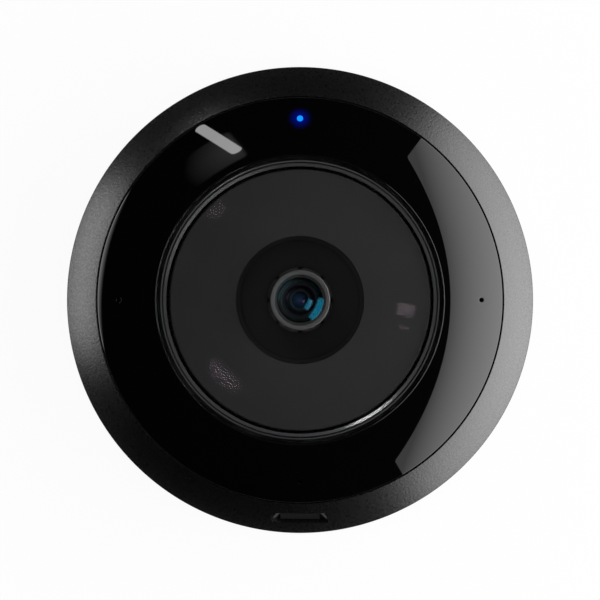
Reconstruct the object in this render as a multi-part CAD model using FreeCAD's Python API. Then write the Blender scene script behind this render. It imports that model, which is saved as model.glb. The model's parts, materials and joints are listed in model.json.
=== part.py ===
"""A ceiling camera with a fisheye lens under a clear bubble, lying on its mounting plate.

The frame: millimetres, +Z out of the ceiling along the lens axis, z = 0 on the ceiling face of the
mounting plate, and the origin on the lens axis. +Y is 12 o'clock on the front, where the status
light is, and -Y is 6 o'clock, where the release button sits in its slot.
"""
import FreeCAD, Part
import math
import os

V = FreeCAD.Vector
UP = V(0, 0, 1)

# The front: one shallow dome shape shared by the gloss cover and the housing's outer band
# round the bubble. Radii are laid out from the bubble outwards: gap, cover, band
BUBBLE_R = 35.6
BUBBLE_GAP = 0.9
COVER_W = 15.3
BAND_W = 7.7
OPENING_Z = 28.4
FRONT_ARC_R = 60.0
FRONT_ARC_SLOPE = 16.0
SEAM_GAP = 0.35
SHOULDER_ARC_R = 2.5
EDGE_BREAK = 0.25
LIP_ROUND = 0.6

# Housing
HOUSING_WALL = 2.6
WALL_DRAFT = 0.25
FOOT_Z = 1.2
FOOT_CHAMFER = 0.6
FLOOR_Z = 8.0
FLOOR_T = 2.0
LEDGE_W = 2.5
LEDGE_T = 1.8
LEDGE_DROP = 3.3

# Front cover
COVER_T = 2.2
SKIRT_T = 1.8
PORT_INSET = 5.6
MIC_PORT_R = 0.6
MIC_ANGLES = (0.0, 180.0, 270.0)
LIGHT_ANGLE = 90.0
LIGHT_R = 0.75
COVER_POST_R = 2.6
COVER_POST_ANGLES = (45.0, 135.0, 225.0, 315.0)
COVER_SEAL_T = 0.6

# Bubble
BUBBLE_T = 1.6
BUBBLE_TOP_Z = 48.5
BUBBLE_SPRING_Z = 28.9
BUBBLE_BLEND_R = 1.2
FLANGE_W = 4.0
FLANGE_T = 1.6
GASKET_T = 0.8
LIP_T = 2.8
FLANGE_ROOM = 0.6
RETAINER_REACH = 3.9
RETAINER_T = 1.6
RETAINER_SCREW_REACH = 2.2
RETAINER_BOSS_R = 1.9
RETAINER_ANGLES = (30.0, 90.0, 150.0, 210.0, 270.0, 330.0)

# Mounting plate and its twist lock
PLATE_INSET = 5.0
PLATE_T = 2.0
PLATE_HOLE_R = 31.0
CEILING_PCD_R = 41.0
CEILING_HOLE_R = 2.25
CEILING_ANGLES = (45.0, 135.0, 225.0, 315.0)
HOOK_ANGLES = (90.0, 210.0, 330.0)
HOOK_HALF_DEG = 10.0
HOOK_INSET = 3.3
HOOK_W = 6.6
HOOK_LEG_T = 2.0
HOOK_LIP_T = 1.7
HOOK_STOP_DEG = 2.0
TAB_T = 1.5
TAB_HALF_DEG = 9.5
TWIST_ROOM = 0.3

# Lock leaf, on the plate at 6 o'clock
LEAF_T = 0.4
LEAF_INSET = 2.0
LEAF_X0 = -17.0
LEAF_Z0 = 2.6
LEAF_H = 4.0
LEAF_SCREW_SHARES = (0.27, 0.73)
CATCH_X0 = 2.0
CATCH_W = 5.0
CATCH_DEPTH = 2.8
LUG_W = 6.0
LUG_T = 2.0
LUG_H = 5.0
RIB_T = 1.2
RIB_BEHIND_CATCH = 0.8

# Release button and the slot that it sits in
SLOT_INSET = 2.6
SLOT_W = 2.6
SLOT_TOP_HALF = 6.5
SLOT_FOOT_HALF = 7.6
SLOT_DEPTH = 1.5
SLOT_TAPER = 1.6
SLOT_TOP_TAPER = 1.0
SLOT_HEIGHT_TAPER = 0.5
BUTTON_HALF = 5.0
BUTTON_H = 2.0
BUTTON_RECESS = 1.1
BUTTON_FLANGE_DEPTH = 4.7
BUTTON_FLANGE_T = 1.0
BUTTON_FLANGE_EDGE = 0.9
BUTTON_TRAVEL = 2.0
LEG_W = 3.8
LEG_T = 1.2
LEG_Z = 4.6
SPRING_R = 1.6
SPRING_WIRE = 0.5
SPRING_LENGTH = 4.0
SPRING_TURNS = 4
SPRING_SEAT_R = 2.2
SPRING_SEAT_H = 1.5
SPRING_ROOM = 0.02
SLIDE_ROOM = 0.1

# Boards
MAIN_BOARD_Z = 21.0
MAIN_BOARD_T = 1.6
MAIN_BOARD_INSET = 2.2
MAIN_BOARD_HOLE_R = 10.5
RING_BOARD_Z = 18.3
RING_BOARD_T = 1.0
RING_BOARD_W = 6.2
RING_BOARD_ROOM = 0.3
RING_POST_R = 1.7
RING_POST_ANGLES = (20.0, 155.0, 250.0)
SENSOR_BOARD_T = 1.2
SENSOR_BOARD_LIFT = 1.4
SENSOR_BOARD_BOX = (-14.0, 17.5, -15.0, 13.5)
SENSOR_SCREWS_AT = ((-11.0, 11.2), (15.2, -11.5))
SENSOR_POST_R = 2.4
SENSOR_SCREW_END_Z = 8.8
FRAME_POST_INSET = 4.0
FRAME_POST_R = 3.0
FRAME_POST_ANGLES = (0.0, 120.0, 240.0)

# Components: X and Y extents of the processor, half sizes and thickness of the sensor and its glass
PROCESSOR_AT = (-27.5, -16.0, -5.8, 5.8)
PROCESSOR_T = 1.4
PAD_T = 1.5
SENSOR_SIZE = (5.0, 4.5, 0.7)
SENSOR_GLASS_SIZE = (4.4, 3.9, 0.4)
MEMORY_AT = ((-26.0, -17.0, -11.0, -3.0), (-26.0, -17.0, 3.0, 11.0))
MEMORY_T = 1.0
TRANSFORMER_AT = (13.5, 25.5, 4.0, 15.0)
TRANSFORMER_T = 5.6
INDUCTOR_AT = (14.0, 25.0, -15.0, -4.4)
INDUCTOR_T = 5.0
INDUCTOR_CORNER_R = 1.5
CAPACITORS_AT = ((3.9, -20.4), (-4.3, -21.3))
CAPACITOR_R = 3.9
CAPACITOR_H = 7.0
CAPACITOR_FOOT_H = 0.8
CAPACITOR_CAN_INSET = 0.1
CONNECTOR_H = 1.2
CONNECTOR_D = 3.0
CONNECTOR_SIDE = 0.6
OUTER_CONNECTOR_D = 2.6
FLEX_T = 0.3
FLEX_X = 14.3
FLEX_BOW = 2.6
FLEX_W = 6.4
STRIP_ANGLE = 300.0
STRIP_W = 5.0
STRIP_INSET = 2.5
STRIP_OVERLAP = 0.6
MIC_SIZE = (3.0, 2.6, 1.0)
MIC_INWARD = 0.2
MIC_GASKET_R = 1.25
LIGHT_SIZE = (1.6, 1.2, 0.6)
PIPE_COLLAR_R = 1.3
PIPE_COLLAR_T = 1.0

# Mask disc and the well round the lens
MASK_INSET = 2.4
MASK_TOP_Z = 27.3
MASK_T = 1.2
FRAME_SCREW_COVER = 1.0
MASK_SKIRT = 3.3
MASK_HOLE_R = 16.3
MASK_POST_R = 2.4
BAFFLE_WALL = 1.05
BAFFLE_FLOOR_Z = 23.2
BAFFLE_HOLE_R = 8.3
BAFFLE_FLANGE_W = 2.2

# Lens
LENS_THREAD_R = 6.0
LENS_BODY_R = 7.0
LENS_HEAD_R = 7.8
LENS_REAR_Z = 16.6
LENS_BODY_Z = 22.6
LENS_HEAD_Z = 26.0
LENS_HEAD_TOP_Z = 31.15
LENS_RING_T = 1.15
FRONT_GLASS_R = 6.9
FRONT_GLASS_COVERED = 0.5
FRONT_GLASS_SEAT_Z = 28.4
FRONT_GLASS_ARC_R = 9.5
MIDDLE_GLASS_R = 5.65
SECOND_GLASS_ARC_R = 14.0
REAR_GLASS_R = 4.15
THIRD_GLASS_ARC_R = 8.0
REAR_GLASS_ARC_R = 7.0
SPACER_H = 0.8
SPACER_THIN = 0.6
SPACER_THICK = 1.0
MIDDLE_SEAT_Z = 24.6
SECOND_GLASS_TOP_Z = 27.0
SECOND_GLASS_BACK_ARC_R = 5.0
FRONT_GLASS_BACK_ARC_R = 6.0
THIRD_GLASS_Z = (21.8, 23.2)
REAR_GLASS_TOP_Z = 20.2
REAR_LIP = 1.0
REAR_LIP_T = 0.8
GLASS_ROOM = 0.05
LOCK_RING_R = 8.6
LOCK_RING_T = 1.9
LOCK_RING_NOTCHES = 8
LOCK_RING_NOTCH_R = 0.8

# Lens holder and the day and night filter switch inside it
HOLDER_X = 12.8
HOLDER_Y0 = -14.2
HOLDER_Y1 = 8.6
HOLDER_T = 4.8
HOLDER_BOSS_R = 8.0
HOLDER_BOSS_H = 3.3
SENSOR_ROOM = (5.8, 5.2, 1.3)
SENSOR_ROOF_T = 0.4
FILTER_SIZE = 6.2
FILTER_T = 0.5
FILTER_PITCH = 7.0
CARRIAGE_END = 0.9
CARRIAGE_HALF_Y = 4.0
CARRIAGE_T = 1.0
CARRIAGE_ROOM = 0.05
CARRIAGE_LUG_WALL = 0.6
CHANNEL_END_ROOM = 0.3
FILTER_LEDGE = 0.5
COIL_X = (3.2, 10.6)
ROTOR_PIVOT_Y = -11.4
ROTOR_SWING = 60.0
ROTOR_HUB_R = 2.4
ROTOR_POST_R = 0.8
ROTOR_ARM_T = 0.6
ROTOR_ARM_HALF = 0.8
ROTOR_PIN_R = 0.5
CHANNEL_H = 2.0
RUNNING = 0.08

# Network socket, on the underside of the main board
JACK_W = 16.0
JACK_Y0 = 14.8
JACK_D = 13.4
JACK_H = 13.0
JACK_MOUTH_W = 11.9
JACK_MOUTH_D = 7.0
JACK_KEY_W = 6.4
JACK_KEY_D = 2.4
JACK_DEEP = 11.6
JACK_MOUTH_INSET = 1.6
JACK_PINS = 8
JACK_PIN_PITCH = 1.02
JACK_PIN_W = 0.36
JACK_PIN_T = 0.45
JACK_PIN_INSET = 3.0

# Reset button, pressed from the back through the floor
RESET_AT = (13.0, 21.0)
RESET_R = 1.45
RESET_RECESS = 0.3
RESET_TOP_Z = 16.6
RESET_FLANGE_R = 2.4
RESET_FLANGE_T = 0.8
RESET_STEM_R = 1.7
RESET_STEM_L = 1.4
RESET_SWITCH_SIZE = 6.0
RESET_SWITCH_H = 3.4
RESET_SWITCH_WELL = 1.6

# Screws: head radius, head height, shank radius
M25 = (2.2, 1.6, 1.25)
M2 = (1.9, 1.3, 1.0)
M16 = (1.5, 1.0, 0.8)
THREAD_ROOM = 0.02
HOLE_ROOM = 0.15
SCREW_BITE = 2.0

# How deep a post or rib reaches into the wall that it is moulded with
FUSED = 0.5

# Worked out from the sizes above
OPENING_R = BUBBLE_R + BUBBLE_GAP
SEAM_R = OPENING_R + COVER_W
BODY_R = SEAM_R + BAND_W
LEDGE_R = SEAM_R - LEDGE_W
PORT_PCD_R = SEAM_R - PORT_INSET
FLANGE_R = BUBBLE_R + FLANGE_W
RETAINER_R = FLANGE_R + RETAINER_REACH
RETAINER_PCD_R = FLANGE_R + RETAINER_SCREW_REACH
RING_BOARD_OUT_R = LEDGE_R - RING_BOARD_ROOM
RING_BOARD_IN_R = RING_BOARD_OUT_R - RING_BOARD_W
MASK_R = BUBBLE_R - MASK_INSET
MAIN_BOARD_R = MASK_R - MAIN_BOARD_INSET
FRAME_POST_PCD_R = MAIN_BOARD_R - FRAME_POST_INSET
STRIP_INNER_R = MAIN_BOARD_R - STRIP_INSET
BAFFLE_FLANGE_R = MASK_HOLE_R + BAFFLE_FLANGE_W
FRONT_GLASS_SEEN_R = FRONT_GLASS_R - FRONT_GLASS_COVERED
PLATE_R = BODY_R - PLATE_INSET
HOOK_LIP_R = PLATE_R - HOOK_INSET
HOOK_LEG_R = HOOK_LIP_R - HOOK_W
LEAF_Y = LEAF_INSET - HOOK_LIP_R
SLOT_IN_R = SEAM_R + SLOT_INSET
SLOT_OUT_R = SLOT_IN_R + SLOT_W
FRONT_ARC_CENTRE_R = OPENING_R - FRONT_ARC_R * math.sin(math.radians(FRONT_ARC_SLOPE))
FRONT_ARC_CENTRE_Z = OPENING_Z - FRONT_ARC_R * math.cos(math.radians(FRONT_ARC_SLOPE))
FLOOR_TOP = FLOOR_Z + FLOOR_T
CAVITY_R = BODY_R - HOUSING_WALL
COVER_OUT_R = SEAM_R - SEAM_GAP / 2
RIM_R = SEAM_R + SEAM_GAP / 2
LIP_UNDER_Z = OPENING_Z - LIP_T
FLANGE_TOP_Z = LIP_UNDER_Z - GASKET_T
FLANGE_Z = FLANGE_TOP_Z - FLANGE_T
RETAINER_Z = FLANGE_Z - RETAINER_T
MAIN_BOARD_TOP = MAIN_BOARD_Z + MAIN_BOARD_T
RING_BOARD_TOP = RING_BOARD_Z + RING_BOARD_T
SENSOR_BOARD_Z = FLOOR_TOP + SENSOR_BOARD_LIFT
SENSOR_BOARD_TOP = SENSOR_BOARD_Z + SENSOR_BOARD_T
MASK_UNDER_Z = MASK_TOP_Z - MASK_T
SWING_HALF = math.radians(ROTOR_SWING / 2)
ARM_R = FILTER_PITCH / 2 / math.sin(SWING_HALF)
ARM_PIN_X = ARM_R * math.sin(SWING_HALF)
ARM_PIN_Y = ROTOR_PIVOT_Y + ARM_R * math.cos(SWING_HALF)
HOLDER_LEDGE_Z = SENSOR_BOARD_TOP + SENSOR_ROOM[2] + SENSOR_ROOF_T
CHANNEL_TOP = HOLDER_LEDGE_Z + CHANNEL_H
CARRIAGE_Z = HOLDER_LEDGE_Z + CARRIAGE_ROOM
CARRIAGE_TOP = CARRIAGE_Z + CARRIAGE_T
HOLDER_TOP = SENSOR_BOARD_TOP + HOLDER_T
HOLDER_BOSS_TOP = HOLDER_TOP + HOLDER_BOSS_H


def front_z(r, depth=0.0):
    """Height of the front's arc at radius r, or of the surface that lies depth below it."""
    return FRONT_ARC_CENTRE_Z + math.sqrt((FRONT_ARC_R - depth) ** 2 - (r - FRONT_ARC_CENTRE_R) ** 2)


def front_r(z, depth=0.0):
    """Radius where the surface that lies depth below the front is at height z."""
    return FRONT_ARC_CENTRE_R + math.sqrt((FRONT_ARC_R - depth) ** 2 - (z - FRONT_ARC_CENTRE_Z) ** 2)


# The shoulder arc runs tangent from the front's arc to the upright side wall
SHOULDER_SIN = (BODY_R - SHOULDER_ARC_R - FRONT_ARC_CENTRE_R) / (FRONT_ARC_R - SHOULDER_ARC_R)
SHOULDER_COS = math.sqrt(1 - SHOULDER_SIN ** 2)
SHOULDER_R = FRONT_ARC_CENTRE_R + FRONT_ARC_R * SHOULDER_SIN
SHOULDER_CENTRE_Z = front_z(SHOULDER_R) - SHOULDER_ARC_R * SHOULDER_COS
LEDGE_Z = front_z(RIM_R) - LEDGE_DROP
SKIRT_Z = LEDGE_Z + COVER_SEAL_T
SLOT_R = (SLOT_IN_R + SLOT_OUT_R) / 2
SLOT_SIN = (SLOT_R - FRONT_ARC_CENTRE_R) / FRONT_ARC_R
SLOT_TILT = math.degrees(math.asin(SLOT_SIN))
SLOT_HEIGHT = (SLOT_OUT_R - SLOT_IN_R) / math.cos(math.radians(SLOT_TILT))


class Outline:
    """A closed outline in the plane of radius and height, turned once round the lens axis."""

    def __init__(self, r, z):
        self.first = V(r, 0, z)
        self.last = self.first
        self.edges = []

    def line(self, r, z):
        end = V(r, 0, z)
        self.edges.append(Part.LineSegment(self.last, end).toShape())
        self.last = end
        return self

    def arc(self, r_mid, z_mid, r, z):
        end = V(r, 0, z)
        self.edges.append(Part.Arc(self.last, V(r_mid, 0, z_mid), end).toShape())
        self.last = end
        return self

    def front(self, r, depth=0.0):
        """Follow the front's arc, or the surface depth below it, to radius r."""
        mid = (self.last.x + r) / 2
        return self.arc(mid, front_z(mid, depth), r, front_z(r, depth))

    def turned(self):
        if self.last.distanceToPoint(self.first) > 1e-6:
            self.line(self.first.x, self.first.z)
        face = Part.Face(Part.Wire(self.edges))
        solid = face.revolve(V(0, 0, 0), UP, 360)
        return positive(solid)


def positive(shape):
    """The same solid with its faces pointing outwards."""
    solid = Part.Solid(shape.Shells[0]) if shape.ShapeType != "Solid" else shape
    if solid.Volume < 0:
        solid.reverse()
    return solid


def at_angle(r, degrees):
    """The point at radius r and an angle counted from 3 o'clock towards 12 o'clock."""
    a = math.radians(degrees)
    return r * math.cos(a), r * math.sin(a)


def rod(r, z0, z1, x=0.0, y=0.0):
    return Part.makeCylinder(r, z1 - z0, V(x, y, z0))


def ring(r_in, r_out, z0, z1, x=0.0, y=0.0):
    return rod(r_out, z0, z1, x, y).cut(rod(r_in, z0 - 1, z1 + 1, x, y))


def block(x0, x1, y0, y1, z0, z1):
    return Part.makeBox(x1 - x0, y1 - y0, z1 - z0, V(x0, y0, z0))


def sector(r_in, r_out, z0, z1, from_deg, to_deg):
    """A piece of a ring between two angles."""
    corners = [V(r_in, 0, z0), V(r_out, 0, z0), V(r_out, 0, z1), V(r_in, 0, z1), V(r_in, 0, z0)]
    face = Part.Face(Part.makePolygon(corners))
    face.rotate(V(0, 0, 0), UP, from_deg)
    return positive(face.revolve(V(0, 0, 0), UP, to_deg - from_deg))


def joined(first, *others):
    return first.fuse(list(others)).removeSplitter()


def without(shape, *others):
    return shape.cut(list(others))


def under_front(depth=0.0):
    """Everything that lies more than depth below the front, out to the seam."""
    o = Outline(0, 0)
    o.line(RIM_R, 0)
    o.line(RIM_R, front_z(RIM_R, depth))
    o.front(FRONT_ARC_CENTRE_R, depth)
    o.line(0, front_z(FRONT_ARC_CENTRE_R, depth))
    return o.turned()


def in_slot(shape):
    """Carry a shape from the slot's own frame, z out of the sloping band, to its place at 6 o'clock."""
    shape.rotate(V(0, 0, 0), V(1, 0, 0), SLOT_TILT)
    shape.translate(V(0, -SLOT_R, front_z(SLOT_R)))
    return shape


def screw(size, x, y, seat_z, length):
    """A flat topped screw driven upwards from a seat that faces the ceiling."""
    head_r, head_h, shank_r = size
    head = rod(head_r, seat_z - head_h, seat_z, x, y)
    return joined(head, rod(shank_r, seat_z - head_h / 2, seat_z + length, x, y))


def bulge(glass_r, arc, r):
    """How far a glass's front stands above its edge at radius r."""
    return math.sqrt(arc ** 2 - r ** 2) - math.sqrt(arc ** 2 - glass_r ** 2)


def lens_glass(r, low_z, high_z, front_arc, back_arc):
    """A lens element bulging to the front; a back arc of 0 leaves the back flat."""
    o = Outline(r, low_z)
    o.line(r, high_z)
    o.arc(r / 2, high_z + bulge(r, front_arc, r / 2), 0, high_z + bulge(r, front_arc, 0))
    if back_arc:
        back_r = min(r * 0.75, back_arc * 0.85)
        back_sag = back_arc - math.sqrt(back_arc ** 2 - back_r ** 2)
        back_middle = back_arc - math.sqrt(back_arc ** 2 - (back_r / 2) ** 2)
        o.line(0, low_z + back_sag)
        o.arc(back_r / 2, low_z + back_sag - back_middle, back_r, low_z)
    else:
        o.line(0, low_z)
    return o.turned()


# Mounting plate and lock

def mounting_plate():
    """Pressed ring with four ceiling holes and three hooks that the housing's tabs turn under."""
    plate = ring(PLATE_HOLE_R, PLATE_R, 0, PLATE_T)
    for angle in CEILING_ANGLES:
        x, y = at_angle(CEILING_PCD_R, angle)
        plate = plate.cut(rod(CEILING_HOLE_R, -1, PLATE_T + 1, x, y))
    lip_z = PLATE_T + TAB_T + 2 * TWIST_ROOM
    lip_top = lip_z + HOOK_LIP_T
    parts = []
    for angle in HOOK_ANGLES:
        low, high = angle - HOOK_HALF_DEG, angle + HOOK_HALF_DEG
        stop = low - HOOK_STOP_DEG
        parts.append(sector(HOOK_LEG_R, HOOK_LEG_R + HOOK_LEG_T, PLATE_T / 2, lip_top, stop, high))
        parts.append(sector(HOOK_LEG_R, HOOK_LIP_R, lip_z, lip_top, stop, high))
        parts.append(sector(HOOK_LEG_R, HOOK_LIP_R, PLATE_T / 2, lip_top, stop, low))
    lug = block(LEAF_X0, LEAF_X0 + LUG_W, LEAF_Y, LEAF_Y + LUG_T, PLATE_T / 2, PLATE_T + LUG_H)
    plate = joined(plate, lug, *parts)
    for x, z in leaf_screw_places():
        plate = plate.cut(leaf_hole(x, z))
    return plate


def leaf_screw_places():
    """The leaf is held to its lug by two screws side by side."""
    z = LEAF_Z0 + LEAF_H / 2
    return [(LEAF_X0 + LUG_W * share, z) for share in LEAF_SCREW_SHARES]


def leaf_hole(x, z):
    return Part.makeCylinder(M16[2] + THREAD_ROOM, 3 * LUG_T, V(x, LEAF_Y - LUG_T, z), V(0, 1, 0))


def lock_leaf():
    """Spring steel strip on edge whose square catch stands between the housing's two ribs."""
    back_y = LEAF_Y - LEAF_T
    tip_y = back_y - CATCH_DEPTH
    z0, z1 = LEAF_Z0, LEAF_Z0 + LEAF_H
    strip = block(LEAF_X0, CATCH_X0 + LEAF_T, back_y, LEAF_Y, z0, z1)
    near = block(CATCH_X0, CATCH_X0 + LEAF_T, tip_y, LEAF_Y, z0, z1)
    cap = block(CATCH_X0, CATCH_X0 + CATCH_W, tip_y, tip_y + LEAF_T, z0, z1)
    far = block(CATCH_X0 + CATCH_W - LEAF_T, CATCH_X0 + CATCH_W, tip_y, back_y, z0, z1)
    leaf = joined(strip, near, cap, far)
    for x, z in leaf_screw_places():
        leaf = leaf.cut(leaf_hole(x, z))
    return leaf


def leaf_screws():
    screws = []
    for x, z in leaf_screw_places():
        one = screw(M16, 0, 0, 0, LEAF_T + LUG_T)
        one.rotate(V(0, 0, 0), V(1, 0, 0), -90)
        one.translate(V(x, LEAF_Y - LEAF_T, z))
        screws.append(one)
    return screws


# Housing

def housing_wall():
    """The turned part of the housing: band, side, floor and the ledge that the cover seals on."""
    o = Outline(RIM_R, LEDGE_Z)
    o.line(RIM_R, front_z(RIM_R) - EDGE_BREAK)
    o.line(RIM_R + EDGE_BREAK, front_z(RIM_R + EDGE_BREAK))
    o.front(SHOULDER_R)
    half = math.radians((90 + math.degrees(math.asin(SHOULDER_SIN))) / 2)
    centre_r = BODY_R - SHOULDER_ARC_R
    o.arc(centre_r + SHOULDER_ARC_R * math.sin(half), SHOULDER_CENTRE_Z + SHOULDER_ARC_R * math.cos(half),
          BODY_R, SHOULDER_CENTRE_Z)
    o.line(BODY_R - WALL_DRAFT, FOOT_Z + FOOT_CHAMFER)
    o.line(BODY_R - WALL_DRAFT - FOOT_CHAMFER, FOOT_Z)
    o.line(CAVITY_R, FOOT_Z)
    o.line(CAVITY_R, FLOOR_Z)
    o.line(0, FLOOR_Z)
    o.line(0, FLOOR_TOP)
    o.line(CAVITY_R, FLOOR_TOP)
    inner_end = CAVITY_R - SHOULDER_ARC_R / 5
    o.line(CAVITY_R, front_z(inner_end, HOUSING_WALL) - SHOULDER_ARC_R / 2)
    o.line(inner_end, front_z(inner_end, HOUSING_WALL))
    under = LEDGE_Z - LEDGE_T
    o.front(front_r(under, HOUSING_WALL), HOUSING_WALL)
    o.line(LEDGE_R, under)
    o.line(LEDGE_R, LEDGE_Z)
    return o.turned()


def slot_frame_loft(z):
    """The slot's trapezoid at height z in the slot's own frame, narrowing with depth."""
    deep = -z / SLOT_DEPTH
    half_h = SLOT_HEIGHT / 2 - SLOT_HEIGHT_TAPER * deep
    top = SLOT_TOP_HALF - SLOT_TOP_TAPER * deep
    foot = SLOT_FOOT_HALF - SLOT_TAPER * deep
    corners = [V(-foot, -half_h, z), V(foot, -half_h, z), V(top, half_h, z), V(-top, half_h, z)]
    return Part.makePolygon(corners + corners[:1])


def slot_cut():
    """The tapered pocket in the band and the through hole for the button's nose."""
    pocket = Part.makeLoft([slot_frame_loft(-SLOT_DEPTH), slot_frame_loft(SLOT_DEPTH)], True, True)
    half_x, half_y = BUTTON_HALF + SLIDE_ROOM, BUTTON_H / 2 + SLIDE_ROOM
    hole = block(-half_x, half_x, -half_y, half_y, -BUTTON_FLANGE_DEPTH - BUTTON_H, 0)
    return in_slot(pocket), in_slot(hole)


def spring_seat_depth():
    return BUTTON_FLANGE_DEPTH + BUTTON_FLANGE_T + SPRING_LENGTH


def leg_box():
    """Low and high corners of the release button's leg in X and Y."""
    x0 = CATCH_X0 + (CATCH_W - LEG_W) / 2
    inner_y = LEAF_Y - LEAF_T - CATCH_DEPTH - TWIST_ROOM
    return x0, x0 + LEG_W, inner_y - LEG_T, inner_y


def housing():
    """Die-cast cup: tabs for the twist lock, floor openings, posts and the release button's slot."""
    body = housing_wall()
    added = []
    tab_z = PLATE_T + TWIST_ROOM
    for angle in HOOK_ANGLES:
        inner = HOOK_LEG_R + HOOK_LEG_T + TWIST_ROOM
        low, high = angle - TAB_HALF_DEG, angle + TAB_HALF_DEG
        added.append(sector(inner, CAVITY_R + FUSED, tab_z, tab_z + TAB_T, low, high))
    rib_y = LEAF_Y - LEAF_T - CATCH_DEPTH + RIB_BEHIND_CATCH
    rib_foot = -(CAVITY_R + FUSED)
    for x in (CATCH_X0 - TWIST_ROOM - RIB_T, CATCH_X0 + CATCH_W + TWIST_ROOM):
        added.append(block(x, x + RIB_T, rib_foot, rib_y, LEAF_Z0, FLOOR_Z + FUSED))
    for angle in FRAME_POST_ANGLES:
        x, y = at_angle(FRAME_POST_PCD_R, angle)
        added.append(rod(FRAME_POST_R, FLOOR_TOP - FUSED, MAIN_BOARD_Z, x, y))
    for angle in COVER_POST_ANGLES:
        x, y = at_angle(PORT_PCD_R, angle)
        added.append(rod(COVER_POST_R, FLOOR_TOP - FUSED, FLOOR_TOP + SCREW_BITE, x, y))
    for x, y in SENSOR_SCREWS_AT:
        added.append(rod(SENSOR_POST_R, FLOOR_TOP - FUSED, SENSOR_BOARD_Z, x, y))
    added.append(heat_pedestal())
    seat = spring_seat_depth()
    added.append(in_slot(rod(SPRING_SEAT_R, -seat - SPRING_SEAT_H, -seat)))
    body = joined(body, *added)
    spring_pocket = in_slot(rod(SPRING_R + SLIDE_ROOM, -seat, -seat + SPRING_LENGTH))
    cuts = [*slot_cut(), spring_pocket]
    for pcd, angles in ((FRAME_POST_PCD_R, FRAME_POST_ANGLES), (PORT_PCD_R, COVER_POST_ANGLES)):
        for angle in angles:
            x, y = at_angle(pcd, angle)
            cuts.append(rod(M25[0] + 2 * HOLE_ROOM, FLOOR_Z - 1, case_screw_seat(), x, y))
            cuts.append(rod(M25[2] + HOLE_ROOM, FLOOR_Z, MAIN_BOARD_Z + 1, x, y))
    for x, y in SENSOR_SCREWS_AT:
        cuts.append(rod(M2[2] + THREAD_ROOM, SENSOR_SCREW_END_Z - HOLE_ROOM, SENSOR_BOARD_Z + 1, x, y))
    room = 2 * HOLE_ROOM
    cuts.append(block(-JACK_W / 2 - room, JACK_W / 2 + room, JACK_Y0 - room, JACK_Y0 + JACK_D + room,
                      FLOOR_Z - 1, FLOOR_TOP + 1))
    cuts.append(rod(RESET_R + RUNNING, FLOOR_Z - 1, FLOOR_TOP + 1, *RESET_AT))
    x0, x1, y0, y1 = leg_box()
    inward = BUTTON_TRAVEL * SLOT_SIN
    cuts.append(block(x0 - room, x1 + room, y0 - room, y1 + inward + room, FLOOR_Z - 1, FLOOR_TOP + 1))
    return without(body, *cuts)


def case_screw_seat():
    """Height of the seats under the heads of the screws that are driven from the back."""
    return FLOOR_Z + M25[1] + 2 * TWIST_ROOM


def heat_pedestal():
    x0, x1, y0, y1 = PROCESSOR_AT
    return block(x0, x1, y0, y1, FLOOR_TOP - FUSED, MAIN_BOARD_Z - PROCESSOR_T - PAD_T)


# Front cover and bubble

def front_cover():
    """Gloss ring: shell, skirt, inner lip with its gasket recess, posts and ports."""
    recess_r = FLANGE_R + FLANGE_ROOM
    o = Outline(OPENING_R, LIP_UNDER_Z)
    round_in_r = OPENING_R + LIP_ROUND
    round_z = front_z(round_in_r) - LIP_ROUND
    o.line(OPENING_R, round_z)
    corner = LIP_ROUND * (1 - math.sqrt(0.5))
    o.arc(OPENING_R + corner, round_z + LIP_ROUND - corner, round_in_r, front_z(round_in_r))
    o.front(COVER_OUT_R - EDGE_BREAK)
    o.line(COVER_OUT_R, front_z(COVER_OUT_R) - EDGE_BREAK)
    o.line(COVER_OUT_R, SKIRT_Z)
    o.line(COVER_OUT_R - SKIRT_T, SKIRT_Z)
    o.line(COVER_OUT_R - SKIRT_T, front_z(COVER_OUT_R - SKIRT_T, COVER_T))
    o.front(recess_r, COVER_T)
    o.line(recess_r, LIP_UNDER_Z)
    shell = o.turned()
    inside = under_front(COVER_T / 2)
    posts = []
    for angle in COVER_POST_ANGLES:
        x, y = at_angle(PORT_PCD_R, angle)
        posts.append(rod(COVER_POST_R, FLOOR_TOP + SCREW_BITE, OPENING_Z, x, y).common(inside))
    for angle in RETAINER_ANGLES:
        x, y = at_angle(RETAINER_PCD_R, angle)
        posts.append(rod(RETAINER_BOSS_R, FLANGE_Z, OPENING_Z, x, y).common(inside))
    for angle in RING_POST_ANGLES:
        x, y = at_angle(PORT_PCD_R, angle)
        posts.append(rod(RING_POST_R, RING_BOARD_TOP, OPENING_Z, x, y).common(inside))
    shell = joined(shell, *posts)
    flange_room = rod(recess_r, FLANGE_Z - 1, LIP_UNDER_Z)
    cuts = [flange_room]
    for angle in COVER_POST_ANGLES:
        x, y = at_angle(PORT_PCD_R, angle)
        cuts.append(rod(M25[2] + THREAD_ROOM, FLOOR_TOP, cover_screw_end() + THREAD_ROOM, x, y))
    for angle in RETAINER_ANGLES:
        x, y = at_angle(RETAINER_PCD_R, angle)
        cuts.append(rod(M2[2] + THREAD_ROOM, FLANGE_Z - 1, FLANGE_Z + SCREW_BITE + THREAD_ROOM, x, y))
    for angle in RING_POST_ANGLES:
        x, y = at_angle(PORT_PCD_R, angle)
        cuts.append(rod(M16[2] + THREAD_ROOM, RING_BOARD_TOP - 1, RING_BOARD_TOP + SCREW_BITE, x, y))
    for angle in MIC_ANGLES:
        x, y = at_angle(PORT_PCD_R, angle)
        cuts.append(rod(MIC_PORT_R, RING_BOARD_TOP, OPENING_Z, x, y))
    x, y = at_angle(PORT_PCD_R, LIGHT_ANGLE)
    cuts.append(rod(LIGHT_R + GLASS_ROOM, RING_BOARD_TOP, OPENING_Z, x, y))
    return without(shell, *cuts)


def cover_screw_end():
    return front_z(PORT_PCD_R, COVER_T) - SCREW_BITE


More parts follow.
